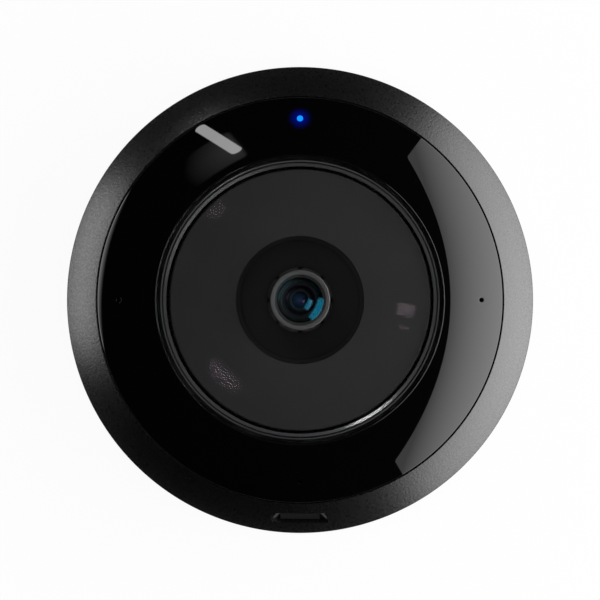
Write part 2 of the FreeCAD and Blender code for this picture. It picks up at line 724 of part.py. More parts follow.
def cover_screws():
    seat = case_screw_seat()
    length = cover_screw_end() - seat
    return [screw(M25, *at_angle(PORT_PCD_R, a), seat, length) for a in COVER_POST_ANGLES]


def cover_seal():
    """Flat silicone ring between the cover's skirt and the housing's ledge."""
    return ring(COVER_OUT_R - SKIRT_T, COVER_OUT_R, LEDGE_Z, SKIRT_Z)


def bubble():
    """Clear bubble: flange, short upright wall and a cap that is less than half a ball."""
    rise = BUBBLE_TOP_Z - BUBBLE_SPRING_Z
    cap_r = (BUBBLE_R ** 2 + rise ** 2) / (2 * rise)
    centre_z = BUBBLE_TOP_Z - cap_r
    inner_cap = cap_r - BUBBLE_T
    inner_r = BUBBLE_R - BUBBLE_T
    o = Outline(inner_r, FLANGE_Z)
    o.line(FLANGE_R, FLANGE_Z)
    o.line(FLANGE_R, FLANGE_TOP_Z)
    o.line(BUBBLE_R, FLANGE_TOP_Z)
    # The outer corner between wall and cap is rounded by an arc tangent to both
    blend_centre_r = BUBBLE_R - BUBBLE_BLEND_R
    blend_centre_z = centre_z + math.sqrt((cap_r - BUBBLE_BLEND_R) ** 2 - blend_centre_r ** 2)
    reach = cap_r / (cap_r - BUBBLE_BLEND_R)
    end_r, end_z = blend_centre_r * reach, centre_z + (blend_centre_z - centre_z) * reach
    o.line(BUBBLE_R, blend_centre_z)
    lean = math.atan2(end_z - blend_centre_z, end_r - blend_centre_r) / 2
    o.arc(blend_centre_r + BUBBLE_BLEND_R * math.cos(lean), blend_centre_z + BUBBLE_BLEND_R * math.sin(lean),
          end_r, end_z)
    o.arc(end_r / 2, centre_z + math.sqrt(cap_r ** 2 - (end_r / 2) ** 2), 0, BUBBLE_TOP_Z)
    o.line(0, BUBBLE_TOP_Z - BUBBLE_T)
    o.arc(inner_r / 2, centre_z + math.sqrt(inner_cap ** 2 - (inner_r / 2) ** 2),
          inner_r, centre_z + math.sqrt(inner_cap ** 2 - inner_r ** 2))
    return o.turned()


def bubble_gasket():
    return ring(OPENING_R + GASKET_T / 2, FLANGE_R, FLANGE_TOP_Z, LIP_UNDER_Z)


def bubble_retainer():
    """Ring screwed up into the cover that clamps the bubble's flange."""
    shape = ring(BUBBLE_R - BUBBLE_T + HOLE_ROOM, RETAINER_R, RETAINER_Z, FLANGE_Z)
    for angle in RETAINER_ANGLES:
        x, y = at_angle(RETAINER_PCD_R, angle)
        shape = shape.cut(rod(M2[2] + HOLE_ROOM, RETAINER_Z - 1, FLANGE_Z + 1, x, y))
    return shape


def retainer_screws():
    length = RETAINER_T + SCREW_BITE
    return [screw(M2, *at_angle(RETAINER_PCD_R, a), RETAINER_Z, length) for a in RETAINER_ANGLES]


# Mask disc and well

def mask_disc():
    """Dark disc under the bubble that hides the boards, on three posts from the main board."""
    o = Outline(MASK_HOLE_R, MASK_UNDER_Z)
    o.line(MASK_HOLE_R, MASK_TOP_Z)
    o.line(MASK_R - EDGE_BREAK, MASK_TOP_Z)
    o.line(MASK_R, MASK_TOP_Z - EDGE_BREAK)
    o.line(MASK_R, MASK_UNDER_Z - MASK_SKIRT)
    o.line(MASK_R - MASK_T, MASK_UNDER_Z - MASK_SKIRT)
    o.line(MASK_R - MASK_T, MASK_UNDER_Z)
    disc = o.turned()
    posts, pilots = [], []
    for angle in FRAME_POST_ANGLES:
        x, y = at_angle(FRAME_POST_PCD_R, angle)
        posts.append(rod(MASK_POST_R, MAIN_BOARD_TOP, MASK_TOP_Z - MASK_T / 2, x, y))
        pilots.append(rod(M25[2] + THREAD_ROOM, MAIN_BOARD_Z, frame_screw_end() + THREAD_ROOM, x, y))
    return without(joined(disc, *posts), *pilots)


def frame_screw_end():
    return MASK_UNDER_Z - FRAME_SCREW_COVER


def frame_screws():
    """Three long screws from the back clamp housing, main board and mask disc together."""
    seat = case_screw_seat()
    length = frame_screw_end() - seat
    return [screw(M25, *at_angle(FRAME_POST_PCD_R, a), seat, length) for a in FRAME_POST_ANGLES]


def lens_well():
    """Dark cup glued under the mask disc, with the lens standing in its floor."""
    wall_out = MASK_HOLE_R - GLASS_ROOM
    o = Outline(BAFFLE_HOLE_R, BAFFLE_FLOOR_Z)
    o.line(wall_out, BAFFLE_FLOOR_Z)
    o.line(wall_out, MASK_UNDER_Z - BAFFLE_WALL)
    o.line(BAFFLE_FLANGE_R, MASK_UNDER_Z - BAFFLE_WALL)
    o.line(BAFFLE_FLANGE_R, MASK_UNDER_Z)
    o.line(wall_out - BAFFLE_WALL, MASK_UNDER_Z)
    o.line(wall_out - BAFFLE_WALL, BAFFLE_FLOOR_Z + BAFFLE_WALL)
    o.line(BAFFLE_HOLE_R, BAFFLE_FLOOR_Z + BAFFLE_WALL)
    return o.turned()


# Lens

def lens_barrel():
    """Threaded rear, plain body, wider head, and a bore stepped for each glass."""
    o = Outline(REAR_GLASS_R - REAR_LIP, LENS_REAR_Z)
    o.line(LENS_THREAD_R - GLASS_ROOM, LENS_REAR_Z)
    o.line(LENS_THREAD_R - GLASS_ROOM, LENS_BODY_Z)
    o.line(LENS_BODY_R, LENS_BODY_Z)
    o.line(LENS_BODY_R, LENS_HEAD_Z)
    o.line(LENS_HEAD_R, LENS_HEAD_Z + (LENS_HEAD_R - LENS_BODY_R))
    o.line(LENS_HEAD_R, LENS_HEAD_TOP_Z)
    o.line(FRONT_GLASS_R + GLASS_ROOM, LENS_HEAD_TOP_Z)
    o.line(FRONT_GLASS_R + GLASS_ROOM, FRONT_GLASS_SEAT_Z)
    o.line(MIDDLE_GLASS_R + GLASS_ROOM, FRONT_GLASS_SEAT_Z)
    o.line(MIDDLE_GLASS_R + GLASS_ROOM, MIDDLE_SEAT_Z)
    o.line(REAR_GLASS_R + GLASS_ROOM, MIDDLE_SEAT_Z)
    o.line(REAR_GLASS_R + GLASS_ROOM, rear_lip_z())
    o.line(REAR_GLASS_R - REAR_LIP, rear_lip_z())
    return o.turned()


def rear_lip_z():
    """Top of the lip that closes the rear of the barrel."""
    return LENS_REAR_Z + REAR_LIP_T


def lens_front_ring():
    """Screwed ring that holds the front glass, with a bevelled inner edge."""
    top = LENS_HEAD_TOP_Z + LENS_RING_T
    o = Outline(FRONT_GLASS_SEEN_R, LENS_HEAD_TOP_Z)
    o.line(LENS_HEAD_R, LENS_HEAD_TOP_Z)
    o.line(LENS_HEAD_R, top - EDGE_BREAK)
    o.line(LENS_HEAD_R - EDGE_BREAK, top)
    o.line(FRONT_GLASS_SEEN_R + 3 * EDGE_BREAK, top)
    o.line(FRONT_GLASS_SEEN_R, top - 3 * EDGE_BREAK)
    return o.turned()


def focus_lock_ring():
    """Nut on the lens thread, notched for a spanner, that locks the focus on the holder's boss."""
    nut = ring(LENS_THREAD_R, LOCK_RING_R, HOLDER_BOSS_TOP, HOLDER_BOSS_TOP + LOCK_RING_T)
    for i in range(LOCK_RING_NOTCHES):
        x, y = at_angle(LOCK_RING_R, i * 360 / LOCK_RING_NOTCHES)
        nut = nut.cut(rod(LOCK_RING_NOTCH_R, HOLDER_BOSS_TOP - 1, HOLDER_BOSS_TOP + LOCK_RING_T + 1, x, y))
    return nut


def front_glass():
    """Outermost meniscus of the fisheye lens, held by the ring just past its edge."""
    edge_z = LENS_HEAD_TOP_Z - GLASS_ROOM - bulge(FRONT_GLASS_R, FRONT_GLASS_ARC_R, FRONT_GLASS_SEEN_R)
    return lens_glass(FRONT_GLASS_R, FRONT_GLASS_SEAT_Z, edge_z, FRONT_GLASS_ARC_R, FRONT_GLASS_BACK_ARC_R)


def second_glass():
    return lens_glass(MIDDLE_GLASS_R, MIDDLE_SEAT_Z + SPACER_H, SECOND_GLASS_TOP_Z,
                      SECOND_GLASS_ARC_R, SECOND_GLASS_BACK_ARC_R)


def third_glass():
    return lens_glass(REAR_GLASS_R, *THIRD_GLASS_Z, THIRD_GLASS_ARC_R, 0)


def rear_glass():
    return lens_glass(REAR_GLASS_R, rear_lip_z() + SPACER_H, REAR_GLASS_TOP_Z, REAR_GLASS_ARC_R, 0)


def glass_spacers():
    """The thin rings that keep the glasses apart; each stands on the bulge of the glass behind it."""
    wide, narrow = MIDDLE_GLASS_R, REAR_GLASS_R
    thin, thick = SPACER_THIN, SPACER_THICK
    on_second = SECOND_GLASS_TOP_Z + bulge(wide, SECOND_GLASS_ARC_R, wide - thin)
    on_third = THIRD_GLASS_Z[1] + bulge(narrow, THIRD_GLASS_ARC_R, narrow - thin)
    on_rear = REAR_GLASS_TOP_Z + bulge(narrow, REAR_GLASS_ARC_R, narrow - thin)
    return [
        ring(wide - thick, wide, MIDDLE_SEAT_Z, MIDDLE_SEAT_Z + SPACER_H),
        ring(wide - thin, wide, on_second, FRONT_GLASS_SEAT_Z),
        ring(narrow - thin, narrow, on_third, MIDDLE_SEAT_Z),
        ring(narrow - thin, narrow, on_rear, THIRD_GLASS_Z[0]),
        ring(narrow - thick, narrow, rear_lip_z(), rear_lip_z() + SPACER_H),
    ]


# Lens holder and filter switch

def lens_holder():
    """Moulded block on the sensor board: threaded boss above, filter channel open to one side."""
    block_out = block(-HOLDER_X, HOLDER_X, HOLDER_Y0, HOLDER_Y1, SENSOR_BOARD_TOP, HOLDER_TOP)
    body = joined(block_out, rod(HOLDER_BOSS_R, HOLDER_TOP - FUSED, HOLDER_BOSS_TOP))
    wall = HOLDER_X - channel_half_x()
    sx, sy, sz = SENSOR_ROOM
    window = FILTER_SIZE / 2
    cuts = [
        block(-sx, sx, -sy, sy, SENSOR_BOARD_TOP - 1, SENSOR_BOARD_TOP + sz),
        block(-window, window, -window, window, SENSOR_BOARD_TOP, CHANNEL_TOP),
        block(-HOLDER_X + wall, HOLDER_X - wall, HOLDER_Y0 - 1, CARRIAGE_HALF_Y + CARRIAGE_ROOM,
              HOLDER_LEDGE_Z, CHANNEL_TOP),
        rod(LENS_THREAD_R, CHANNEL_TOP - 0.1, HOLDER_BOSS_TOP + 1),
    ]
    post = rod(ROTOR_POST_R, HOLDER_LEDGE_Z - FUSED, CHANNEL_TOP + FUSED, 0, ROTOR_PIVOT_Y)
    return joined(without(body, *cuts), post)


def channel_half_x():
    return FILTER_PITCH + FILTER_SIZE / 2 + CARRIAGE_END + CHANNEL_END_ROOM


def carriage_ends():
    """Ends of the carriage along X, with the infrared-cut filter on the lens axis."""
    reach = FILTER_SIZE / 2 + CARRIAGE_END
    return -reach, FILTER_PITCH + reach


def filter_carriage():
    """Sliding frame with a window for each filter and the slot that the rotor's pin works in."""
    x0, x1 = carriage_ends()
    lug_half = 2 * ROTOR_PIN_R + CARRIAGE_LUG_WALL
    slot_y0 = ARM_PIN_Y - ROTOR_PIN_R - HOLE_ROOM
    slot_y1 = ROTOR_PIVOT_Y + ARM_R + ROTOR_PIN_R + HOLE_ROOM
    frame = block(x0, x1, -CARRIAGE_HALF_Y, CARRIAGE_HALF_Y, CARRIAGE_Z, CARRIAGE_TOP)
    lug = block(ARM_PIN_X - lug_half, ARM_PIN_X + lug_half, slot_y0 - CARRIAGE_LUG_WALL,
                FUSED - CARRIAGE_HALF_Y, CARRIAGE_Z, CARRIAGE_TOP)
    frame = joined(frame, lug)
    cuts = []
    opening = FILTER_SIZE / 2 - FILTER_LEDGE
    for x in (0.0, FILTER_PITCH):
        cuts.append(block(x - opening, x + opening, -opening, opening, CARRIAGE_Z - 1, CARRIAGE_TOP + 1))
        cuts.append(block(x - FILTER_SIZE / 2, x + FILTER_SIZE / 2, -FILTER_SIZE / 2, FILTER_SIZE / 2,
                          CARRIAGE_TOP - FILTER_T, CARRIAGE_TOP + 1))
    half = ROTOR_PIN_R + HOLE_ROOM
    cuts.append(block(ARM_PIN_X - half, ARM_PIN_X + half, slot_y0, slot_y1, CARRIAGE_Z - 1, CARRIAGE_TOP + 1))
    return without(frame, *cuts)


def filter_plate(x):
    """A square of coated glass resting in its window of the carriage."""
    half = FILTER_SIZE / 2 - GLASS_ROOM
    return block(x - half, x + half, -half, half, CARRIAGE_TOP - FILTER_T, CARRIAGE_TOP)


def filter_rotor():
    """Magnet hub on its post, with the arm and pin that push the carriage to and fro."""
    top = CHANNEL_TOP - CARRIAGE_ROOM
    arm_z = top - ROTOR_ARM_T
    hub = rod(ROTOR_HUB_R, HOLDER_LEDGE_Z + CARRIAGE_ROOM, top, 0, ROTOR_PIVOT_Y)
    arm = block(-ROTOR_ARM_HALF, ROTOR_ARM_HALF, 0, ARM_R, arm_z, top)
    arm.rotate(V(0, 0, 0), UP, -ROTOR_SWING / 2)
    arm.translate(V(0, ROTOR_PIVOT_Y, 0))
    tip = rod(ROTOR_ARM_HALF, arm_z, top, ARM_PIN_X, ARM_PIN_Y)
    pin = rod(ROTOR_PIN_R, HOLDER_LEDGE_Z + 3 * CARRIAGE_ROOM, top, ARM_PIN_X, ARM_PIN_Y)
    bore = rod(ROTOR_POST_R + RUNNING, HOLDER_LEDGE_Z - 1, top + 1, 0, ROTOR_PIVOT_Y)
    return without(joined(hub, arm, tip, pin), bore)


def filter_coil():
    """Coil and yoke beside the magnet hub."""
    body = block(*COIL_X, HOLDER_Y0, ROTOR_PIVOT_Y + ROTOR_HUB_R, HOLDER_LEDGE_Z, CHANNEL_TOP - CARRIAGE_ROOM)
    return body.cut(rod(ROTOR_HUB_R + 2 * HOLE_ROOM, HOLDER_LEDGE_Z - 1, CHANNEL_TOP + 1, 0, ROTOR_PIVOT_Y))


# Boards and what is on them

def sensor_board():
    x0, x1, y0, y1 = SENSOR_BOARD_BOX
    board = block(x0, x1, y0, y1, SENSOR_BOARD_Z, SENSOR_BOARD_TOP)
    for x, y in SENSOR_SCREWS_AT:
        board = board.cut(rod(M2[2] + HOLE_ROOM, SENSOR_BOARD_Z - 1, SENSOR_BOARD_TOP + 1, x, y))
    return board


def sensor_screws():
    """Two screws from the front side hold the sensor board to the floor."""
    screws = []
    for x, y in SENSOR_SCREWS_AT:
        one = screw(M2, 0, 0, 0, SENSOR_BOARD_TOP - SENSOR_SCREW_END_Z)
        one.rotate(V(0, 0, 0), V(1, 0, 0), 180)
        one.translate(V(x, y, SENSOR_BOARD_TOP))
        screws.append(one)
    return screws


def image_sensor():
    x, y, t = SENSOR_SIZE
    return block(-x, x, -y, y, SENSOR_BOARD_TOP, SENSOR_BOARD_TOP + t)


def sensor_glass():
    x, y, t = SENSOR_GLASS_SIZE
    low = SENSOR_BOARD_TOP + SENSOR_SIZE[2]
    return block(-x, x, -y, y, low, low + t)


def main_board():
    board = ring(MAIN_BOARD_HOLE_R, MAIN_BOARD_R, MAIN_BOARD_Z, MAIN_BOARD_TOP)
    for angle in FRAME_POST_ANGLES:
        x, y = at_angle(FRAME_POST_PCD_R, angle)
        board = board.cut(rod(M25[2] + HOLE_ROOM, MAIN_BOARD_Z - 1, MAIN_BOARD_TOP + 1, x, y))
    return board


def under_board(x0, x1, y0, y1, height):
    """A component on the underside of the main board."""
    return block(x0, x1, y0, y1, MAIN_BOARD_Z - height, MAIN_BOARD_Z)


def processor():
    return under_board(*PROCESSOR_AT, PROCESSOR_T)


def thermal_pad():
    x0, x1, y0, y1 = PROCESSOR_AT
    top = MAIN_BOARD_Z - PROCESSOR_T
    return block(x0, x1, y0, y1, top - PAD_T, top)


def memory_chips():
    return [block(*at, MAIN_BOARD_TOP, MAIN_BOARD_TOP + MEMORY_T) for at in MEMORY_AT]


def network_transformer():
    return under_board(*TRANSFORMER_AT, TRANSFORMER_T)


def power_inductor():
    """Square core with rounded corners."""
    core = under_board(*INDUCTOR_AT, INDUCTOR_T)
    return core.makeFillet(INDUCTOR_CORNER_R, [e for e in core.Edges if e.BoundBox.ZLength > INDUCTOR_T / 2])


def capacitors():
    cans = []
    for x, y in CAPACITORS_AT:
        r = CAPACITOR_R
        foot = under_board(x - r, x + r, y - r, y + r, CAPACITOR_FOOT_H)
        can_z = MAIN_BOARD_Z - CAPACITOR_FOOT_H / 2
        can = rod(r - CAPACITOR_CAN_INSET, MAIN_BOARD_Z - CAPACITOR_H, can_z, x, y)
        cans.append(joined(foot, can))
    return cans


def board_connectors():
    """Flat cable connectors: sensor board, main board underside twice, ring board."""
    low, reach = SENSOR_BOARD_TOP, CONNECTOR_D
    x, half = FLEX_X, FLEX_W / 2 + CONNECTOR_SIDE
    sensor_end = block(x - 3 * FLEX_T, x - 3 * FLEX_T + reach, -half, half, low, low + CONNECTOR_H)
    main_end = under_board(x + 4 * FLEX_T - reach, x + 4 * FLEX_T, -half, half, CONNECTOR_H)
    half = STRIP_W / 2 + CONNECTOR_SIDE
    inner = under_board(STRIP_INNER_R - reach, STRIP_INNER_R, -half, half, CONNECTOR_H)
    strip_end = RING_BOARD_IN_R + STRIP_OVERLAP
    top = strip_z() + 2 * FLEX_T
    outer = block(strip_end, strip_end + OUTER_CONNECTOR_D, -half, half, RING_BOARD_TOP, top)
    for shape in (inner, outer):
        shape.rotate(V(0, 0, 0), UP, STRIP_ANGLE)
    return [sensor_end, main_end, inner, outer]


def strip_z():
    return MAIN_BOARD_Z - CONNECTOR_H / 2 - FLEX_T / 2


def sensor_flex():
    """Flat cable that bows outwards between the sensor board and the main board."""
    x, bow, y = FLEX_X, FLEX_BOW, -FLEX_W / 2
    low = SENSOR_BOARD_TOP + CONNECTOR_H
    high = MAIN_BOARD_Z - CONNECTOR_H
    mid = (low + high) / 2
    outer = Part.Arc(V(x, y, low), V(x + bow, y, mid), V(x, y, high)).toShape()
    inner = Part.Arc(V(x - FLEX_T, y, high), V(x - FLEX_T + bow, y, mid), V(x - FLEX_T, y, low)).toShape()
    top = Part.LineSegment(V(x, y, high), V(x - FLEX_T, y, high)).toShape()
    foot = Part.LineSegment(V(x - FLEX_T, y, low), V(x, y, low)).toShape()
    face = Part.Face(Part.Wire([outer, top, inner, foot]))
    return positive(face.extrude(V(0, FLEX_W, 0)))


def ring_board_strip():
    """Flat cable from the main board out to the ring board."""
    z = strip_z()
    strip = block(STRIP_INNER_R, RING_BOARD_IN_R + STRIP_OVERLAP, -STRIP_W / 2, STRIP_W / 2, z, z + FLEX_T)
    strip.rotate(V(0, 0, 0), UP, STRIP_ANGLE)
    return strip


def ring_board():
    """Narrow board under the gloss cover for the light and the microphones."""
    board = ring(RING_BOARD_IN_R, RING_BOARD_OUT_R, RING_BOARD_Z, RING_BOARD_TOP)
    notch_r = COVER_POST_R + 2 * HOLE_ROOM
    for angle in COVER_POST_ANGLES:
        notch = joined(rod(notch_r, RING_BOARD_Z - 1, RING_BOARD_TOP + 1, PORT_PCD_R, 0),
                       block(PORT_PCD_R, SEAM_R, -notch_r, notch_r, RING_BOARD_Z - 1, RING_BOARD_TOP + 1))
        notch.rotate(V(0, 0, 0), UP, angle)
        board = board.cut(notch)
    for angle in RING_POST_ANGLES:
        x, y = at_angle(PORT_PCD_R, angle)
        board = board.cut(rod(M16[2] + HOLE_ROOM, RING_BOARD_Z - 1, RING_BOARD_TOP + 1, x, y))
    return board


def ring_board_screws():
    length = RING_BOARD_T + SCREW_BITE - HOLE_ROOM
    return [screw(M16, *at_angle(PORT_PCD_R, a), RING_BOARD_Z, length) for a in RING_POST_ANGLES]


def microphones():
    mics = []
    deep, wide, tall = MIC_SIZE
    middle, top = PORT_PCD_R - MIC_INWARD, RING_BOARD_TOP + tall
    for angle in MIC_ANGLES:
        mic = block(middle - deep / 2, middle + deep / 2, -wide / 2, wide / 2, RING_BOARD_TOP, top)
        mic.rotate(V(0, 0, 0), UP, angle)
        mics.append(mic)
    return mics


def microphone_gaskets():
    """Foam tubes that lead each port in the cover to its microphone."""
    low = RING_BOARD_TOP + MIC_SIZE[2]
    top = front_z(PORT_PCD_R + MIC_GASKET_R, COVER_T)
    return [ring(MIC_PORT_R, MIC_GASKET_R, low, top, *at_angle(PORT_PCD_R, angle)) for angle in MIC_ANGLES]


def status_light():
    x, y = at_angle(PORT_PCD_R, LIGHT_ANGLE)
    half_x, half_y, tall = LIGHT_SIZE[0] / 2, LIGHT_SIZE[1] / 2, LIGHT_SIZE[2]
    return block(x - half_x, x + half_x, y - half_y, y + half_y, RING_BOARD_TOP, RING_BOARD_TOP + tall)


def light_pipe():
    """Clear peg from the light to the gloss face, with a collar under the cover."""
    x, y = at_angle(PORT_PCD_R, LIGHT_ANGLE)
    foot = RING_BOARD_TOP + LIGHT_SIZE[2]
    peg = rod(LIGHT_R, foot, OPENING_Z, x, y).common(under_front())
    return joined(peg, rod(PIPE_COLLAR_R, foot, foot + PIPE_COLLAR_T, x, y))


# Network socket

def ethernet_jack():
    """Eight-way socket whose mouth faces the ceiling through the housing's floor."""
    low = MAIN_BOARD_Z - JACK_H
    body = block(-JACK_W / 2, JACK_W / 2, JACK_Y0, JACK_Y0 + JACK_D, low, MAIN_BOARD_Z)
    y0 = JACK_Y0 + JACK_MOUTH_INSET
    y1 = y0 + JACK_MOUTH_D
    mouth = block(-JACK_MOUTH_W / 2, JACK_MOUTH_W / 2, y0, y1, low - 1, low + JACK_DEEP)
    key = block(-JACK_KEY_W / 2, JACK_KEY_W / 2, y1 - FUSED, y1 + JACK_KEY_D, low - 1, low + JACK_DEEP)
    return without(body, mouth, key)


def jack_contacts():
    """Eight gilt wires along the wall of the socket's mouth opposite the latch."""
    low = MAIN_BOARD_Z - JACK_H
    y0 = JACK_Y0 + JACK_MOUTH_INSET
    wires = []
    for i in range(JACK_PINS):
        x = (i - (JACK_PINS - 1) / 2) * JACK_PIN_PITCH
        wires.append(block(x - JACK_PIN_W / 2, x + JACK_PIN_W / 2, y0, y0 + JACK_PIN_T,
                           low + JACK_PIN_INSET, low + JACK_DEEP))
    return wires


# Buttons

def reset_switch():
    """Small push switch under the main board, open below for its stem."""
    x, y = RESET_AT
    half = RESET_SWITCH_SIZE / 2
    low = MAIN_BOARD_Z - RESET_SWITCH_H
    body = under_board(x - half, x + half, y - half, y + half, RESET_SWITCH_H)
    return body.cut(rod(RESET_STEM_R + RUNNING, low - 1, low + RESET_SWITCH_WELL, x, y))


def reset_button():
    """Plunger through the floor with the collar that keeps it in, and the switch's stem on top."""
    low = FLOOR_Z + RESET_RECESS
    plunger = rod(RESET_R, low, RESET_TOP_Z, *RESET_AT)
    seat = FLOOR_TOP + GLASS_ROOM
    collar = rod(RESET_FLANGE_R, seat, seat + RESET_FLANGE_T, *RESET_AT)
    return joined(plunger, collar)


def reset_stem():
    return rod(RESET_STEM_R, RESET_TOP_Z, RESET_TOP_Z + RESET_STEM_L, *RESET_AT)


def release_button():
    """Nose in the slot, collar under the band, and the leg that pushes the lock leaf's catch in."""
    top = -BUTTON_RECESS
    flange = -BUTTON_FLANGE_DEPTH
    half_h = BUTTON_H / 2
    edge = BUTTON_FLANGE_EDGE
    nose = block(-BUTTON_HALF, BUTTON_HALF, -half_h, half_h, flange - BUTTON_FLANGE_T / 2, top)
    collar = block(-BUTTON_HALF - edge, BUTTON_HALF + edge, -half_h - edge, half_h + edge,
                   flange - BUTTON_FLANGE_T, flange)
    button = in_slot(joined(nose, collar))
    x0, x1, y0, y1 = leg_box()
    # The leg starts inside the collar, halfway through its thickness
    depth = BUTTON_FLANGE_DEPTH + BUTTON_FLANGE_T / 2
    tilt = math.radians(SLOT_TILT)
    mid_y = -SLOT_R + depth * math.sin(tilt)
    mid_z = front_z(SLOT_R) - depth * math.cos(tilt)
    leg_top = mid_z + ((y0 + y1) / 2 - mid_y) * math.tan(tilt)
    return joined(button, block(x0, x1, y0, y1, LEG_Z, leg_top))


def release_spring():
    """Coil spring between the button's collar and its seat on the floor."""
    radius = SPRING_R - SPRING_WIRE / 2
    room = SPRING_WIRE / 2 + SPRING_ROOM
    height = SPRING_LENGTH - 2 * room
    path = Part.makeHelix(height / SPRING_TURNS, height, radius)
    circle = Part.Circle(V(radius, 0, 0), V(0, 1, 0), SPRING_WIRE / 2).toShape()
    coil = Part.Wire(path.Edges).makePipeShell([Part.Wire([circle])], True, True)
    coil.translate(V(0, 0, -spring_seat_depth() + room))
    return positive(in_slot(coil))


# One entry per piece, in the order in which the camera is put together
PIECES = {
    "mounting_plate": mounting_plate,
    "lock_leaf": lock_leaf,
    "leaf_screws": leaf_screws,
    "housing": housing,
    "release_button": release_button,
    "release_spring": release_spring,
    "sensor_board": sensor_board,
    "sensor_screws": sensor_screws,
    "image_sensor": image_sensor,
    "sensor_glass": sensor_glass,
    "lens_holder": lens_holder,
    "filter_carriage": filter_carriage,
    "infrared_filter": lambda: filter_plate(0.0),
    "clear_filter": lambda: filter_plate(FILTER_PITCH),
    "filter_rotor": filter_rotor,
    "filter_coil": filter_coil,
    "lens_barrel": lens_barrel,
    "lens_front_ring": lens_front_ring,
    "focus_lock_ring": focus_lock_ring,
    "front_glass": front_glass,
    "second_glass": second_glass,
    "third_glass": third_glass,
    "rear_glass": rear_glass,
    "glass_spacers": glass_spacers,
    "sensor_flex": sensor_flex,
    "main_board": main_board,
    "processor": processor,
    "thermal_pad": thermal_pad,
    "memory_chips": memory_chips,
    "network_transformer": network_transformer,
    "power_inductor": power_inductor,
    "capacitors": capacitors,
    "board_connectors": board_connectors,
    "ethernet_jack": ethernet_jack,
    "jack_contacts": jack_contacts,
    "reset_switch": reset_switch,
    "reset_stem": reset_stem,
    "reset_button": reset_button,
    "mask_disc": mask_disc,
    "lens_well": lens_well,
    "frame_screws": frame_screws,
    "ring_board_strip": ring_board_strip,
    "ring_board": ring_board,
    "ring_board_screws": ring_board_screws,
    "microphones": microphones,
    "microphone_gaskets": microphone_gaskets,
    "status_light": status_light,
    "light_pipe": light_pipe,
    "bubble": bubble,
    "bubble_gasket": bubble_gasket,
    "bubble_retainer": bubble_retainer,
    "retainer_screws": retainer_screws,
    "front_cover": front_cover,
    "cover_seal": cover_seal,
    "cover_screws": cover_screws,
}


def main():
    os.makedirs("parts", exist_ok=True)
    for name, make in PIECES.items():
        made = make()
        shape = Part.makeCompound(made) if isinstance(made, list) else made
        print(name, len(shape.Solids), round(shape.Volume, 1), "valid" if shape.isValid() else "NOT VALID")
        shape.exportStep(os.path.join("parts", name + ".step"))


main()
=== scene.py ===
"""The looks of the ceiling camera: finishes, fine surfaces, studio light and the square-on view."""
import bmesh
import bpy
import json
import math
from contextlib import contextmanager
from mathutils import Matrix, Vector


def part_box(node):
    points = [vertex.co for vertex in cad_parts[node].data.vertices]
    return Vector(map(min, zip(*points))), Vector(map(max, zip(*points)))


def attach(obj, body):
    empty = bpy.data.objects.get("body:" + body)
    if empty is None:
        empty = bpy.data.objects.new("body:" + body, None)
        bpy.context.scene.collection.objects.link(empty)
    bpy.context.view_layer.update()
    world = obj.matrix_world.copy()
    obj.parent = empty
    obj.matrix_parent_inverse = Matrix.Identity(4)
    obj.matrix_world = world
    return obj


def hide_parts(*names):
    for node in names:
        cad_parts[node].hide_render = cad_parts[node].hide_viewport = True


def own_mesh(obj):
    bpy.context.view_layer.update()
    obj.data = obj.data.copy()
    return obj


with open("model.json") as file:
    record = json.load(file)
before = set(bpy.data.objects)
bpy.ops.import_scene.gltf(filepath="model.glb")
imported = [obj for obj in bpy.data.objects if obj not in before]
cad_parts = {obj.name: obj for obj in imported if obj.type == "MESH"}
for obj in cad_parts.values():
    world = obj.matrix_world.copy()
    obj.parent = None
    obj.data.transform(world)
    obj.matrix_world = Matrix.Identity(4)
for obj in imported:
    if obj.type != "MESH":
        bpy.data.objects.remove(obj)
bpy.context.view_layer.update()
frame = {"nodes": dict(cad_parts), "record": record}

# Real sizes are in millimetres here, and Blender works in metres
MM = 0.001

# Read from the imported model
BODY_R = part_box("housing")[1].x / MM
COVER_OUT_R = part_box("front_cover")[1].x / MM
SKIRT_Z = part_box("cover_seal")[1].z / MM
FLANGE_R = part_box("bubble")[1].x / MM
FLANGE_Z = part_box("bubble")[0].z / MM
BUBBLE_TOP_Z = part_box("bubble")[1].z / MM
LIGHT_Y = (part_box("light_pipe")[0].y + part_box("light_pipe")[1].y) / 2 / MM

# The front's shared arc, as the part has it
OPENING_R = 36.5
OPENING_Z = 28.4
FRONT_ARC_R = 60.0
FRONT_ARC_SLOPE = math.radians(16.0)
ARC_R0 = OPENING_R - FRONT_ARC_R * math.sin(FRONT_ARC_SLOPE)
ARC_Z0 = OPENING_Z - FRONT_ARC_R * math.cos(FRONT_ARC_SLOPE)

# Cover: its skin, its lip with a bead, and its outer edge
SKIN_T = 0.5
SKIN_PROUD = 0.006
LIP_ROUND = 0.6
LIP_DEPTH = 2.0
BEAD_TOP_R = 36.60
BEAD_INNER = 0.10
BEAD_OUTER = 0.22
BEAD_PROUD = 0.09
BEAD_END_DEG = 27.5
BEAD_TOE = 0.02
EDGE_ROUND = 0.25
SKIRT_OVERLAP = 0.2

# Ports, and the status light's hole and the glow painted round it, all equally far out
PORT_R = 0.6
PORT_EDGE_R = 0.25
PORT_ANGLES = (0, 180, 270)
LIGHT_HOLE_R = 0.8
LIGHT_EDGE_R = 0.05
LIGHT_ANGLE = 90
PAINTED_GLOW_IN_R = 0.8
PAINTED_GLOW_OUT_R = 4.6
PAINTED_GLOW_FALL = 3.0
PAINTED_GLOW_STRENGTH = 0.12
DRILL_DEPTH = 12.0
DRILL_HEAD = 1.0

# Band, and the slot in it
SEAM_W = 0.24
BAND_IN_R = COVER_OUT_R + SEAM_W
BAND_EDGE = 0.12
BAND_CORNER = 0.2
CORNER_GAP = 0.02
BAND_FOOT_Z = 14.0
BAND_DEPTH = 1.4
BAND_WALL = 0.4
SLOT_R = 55.7
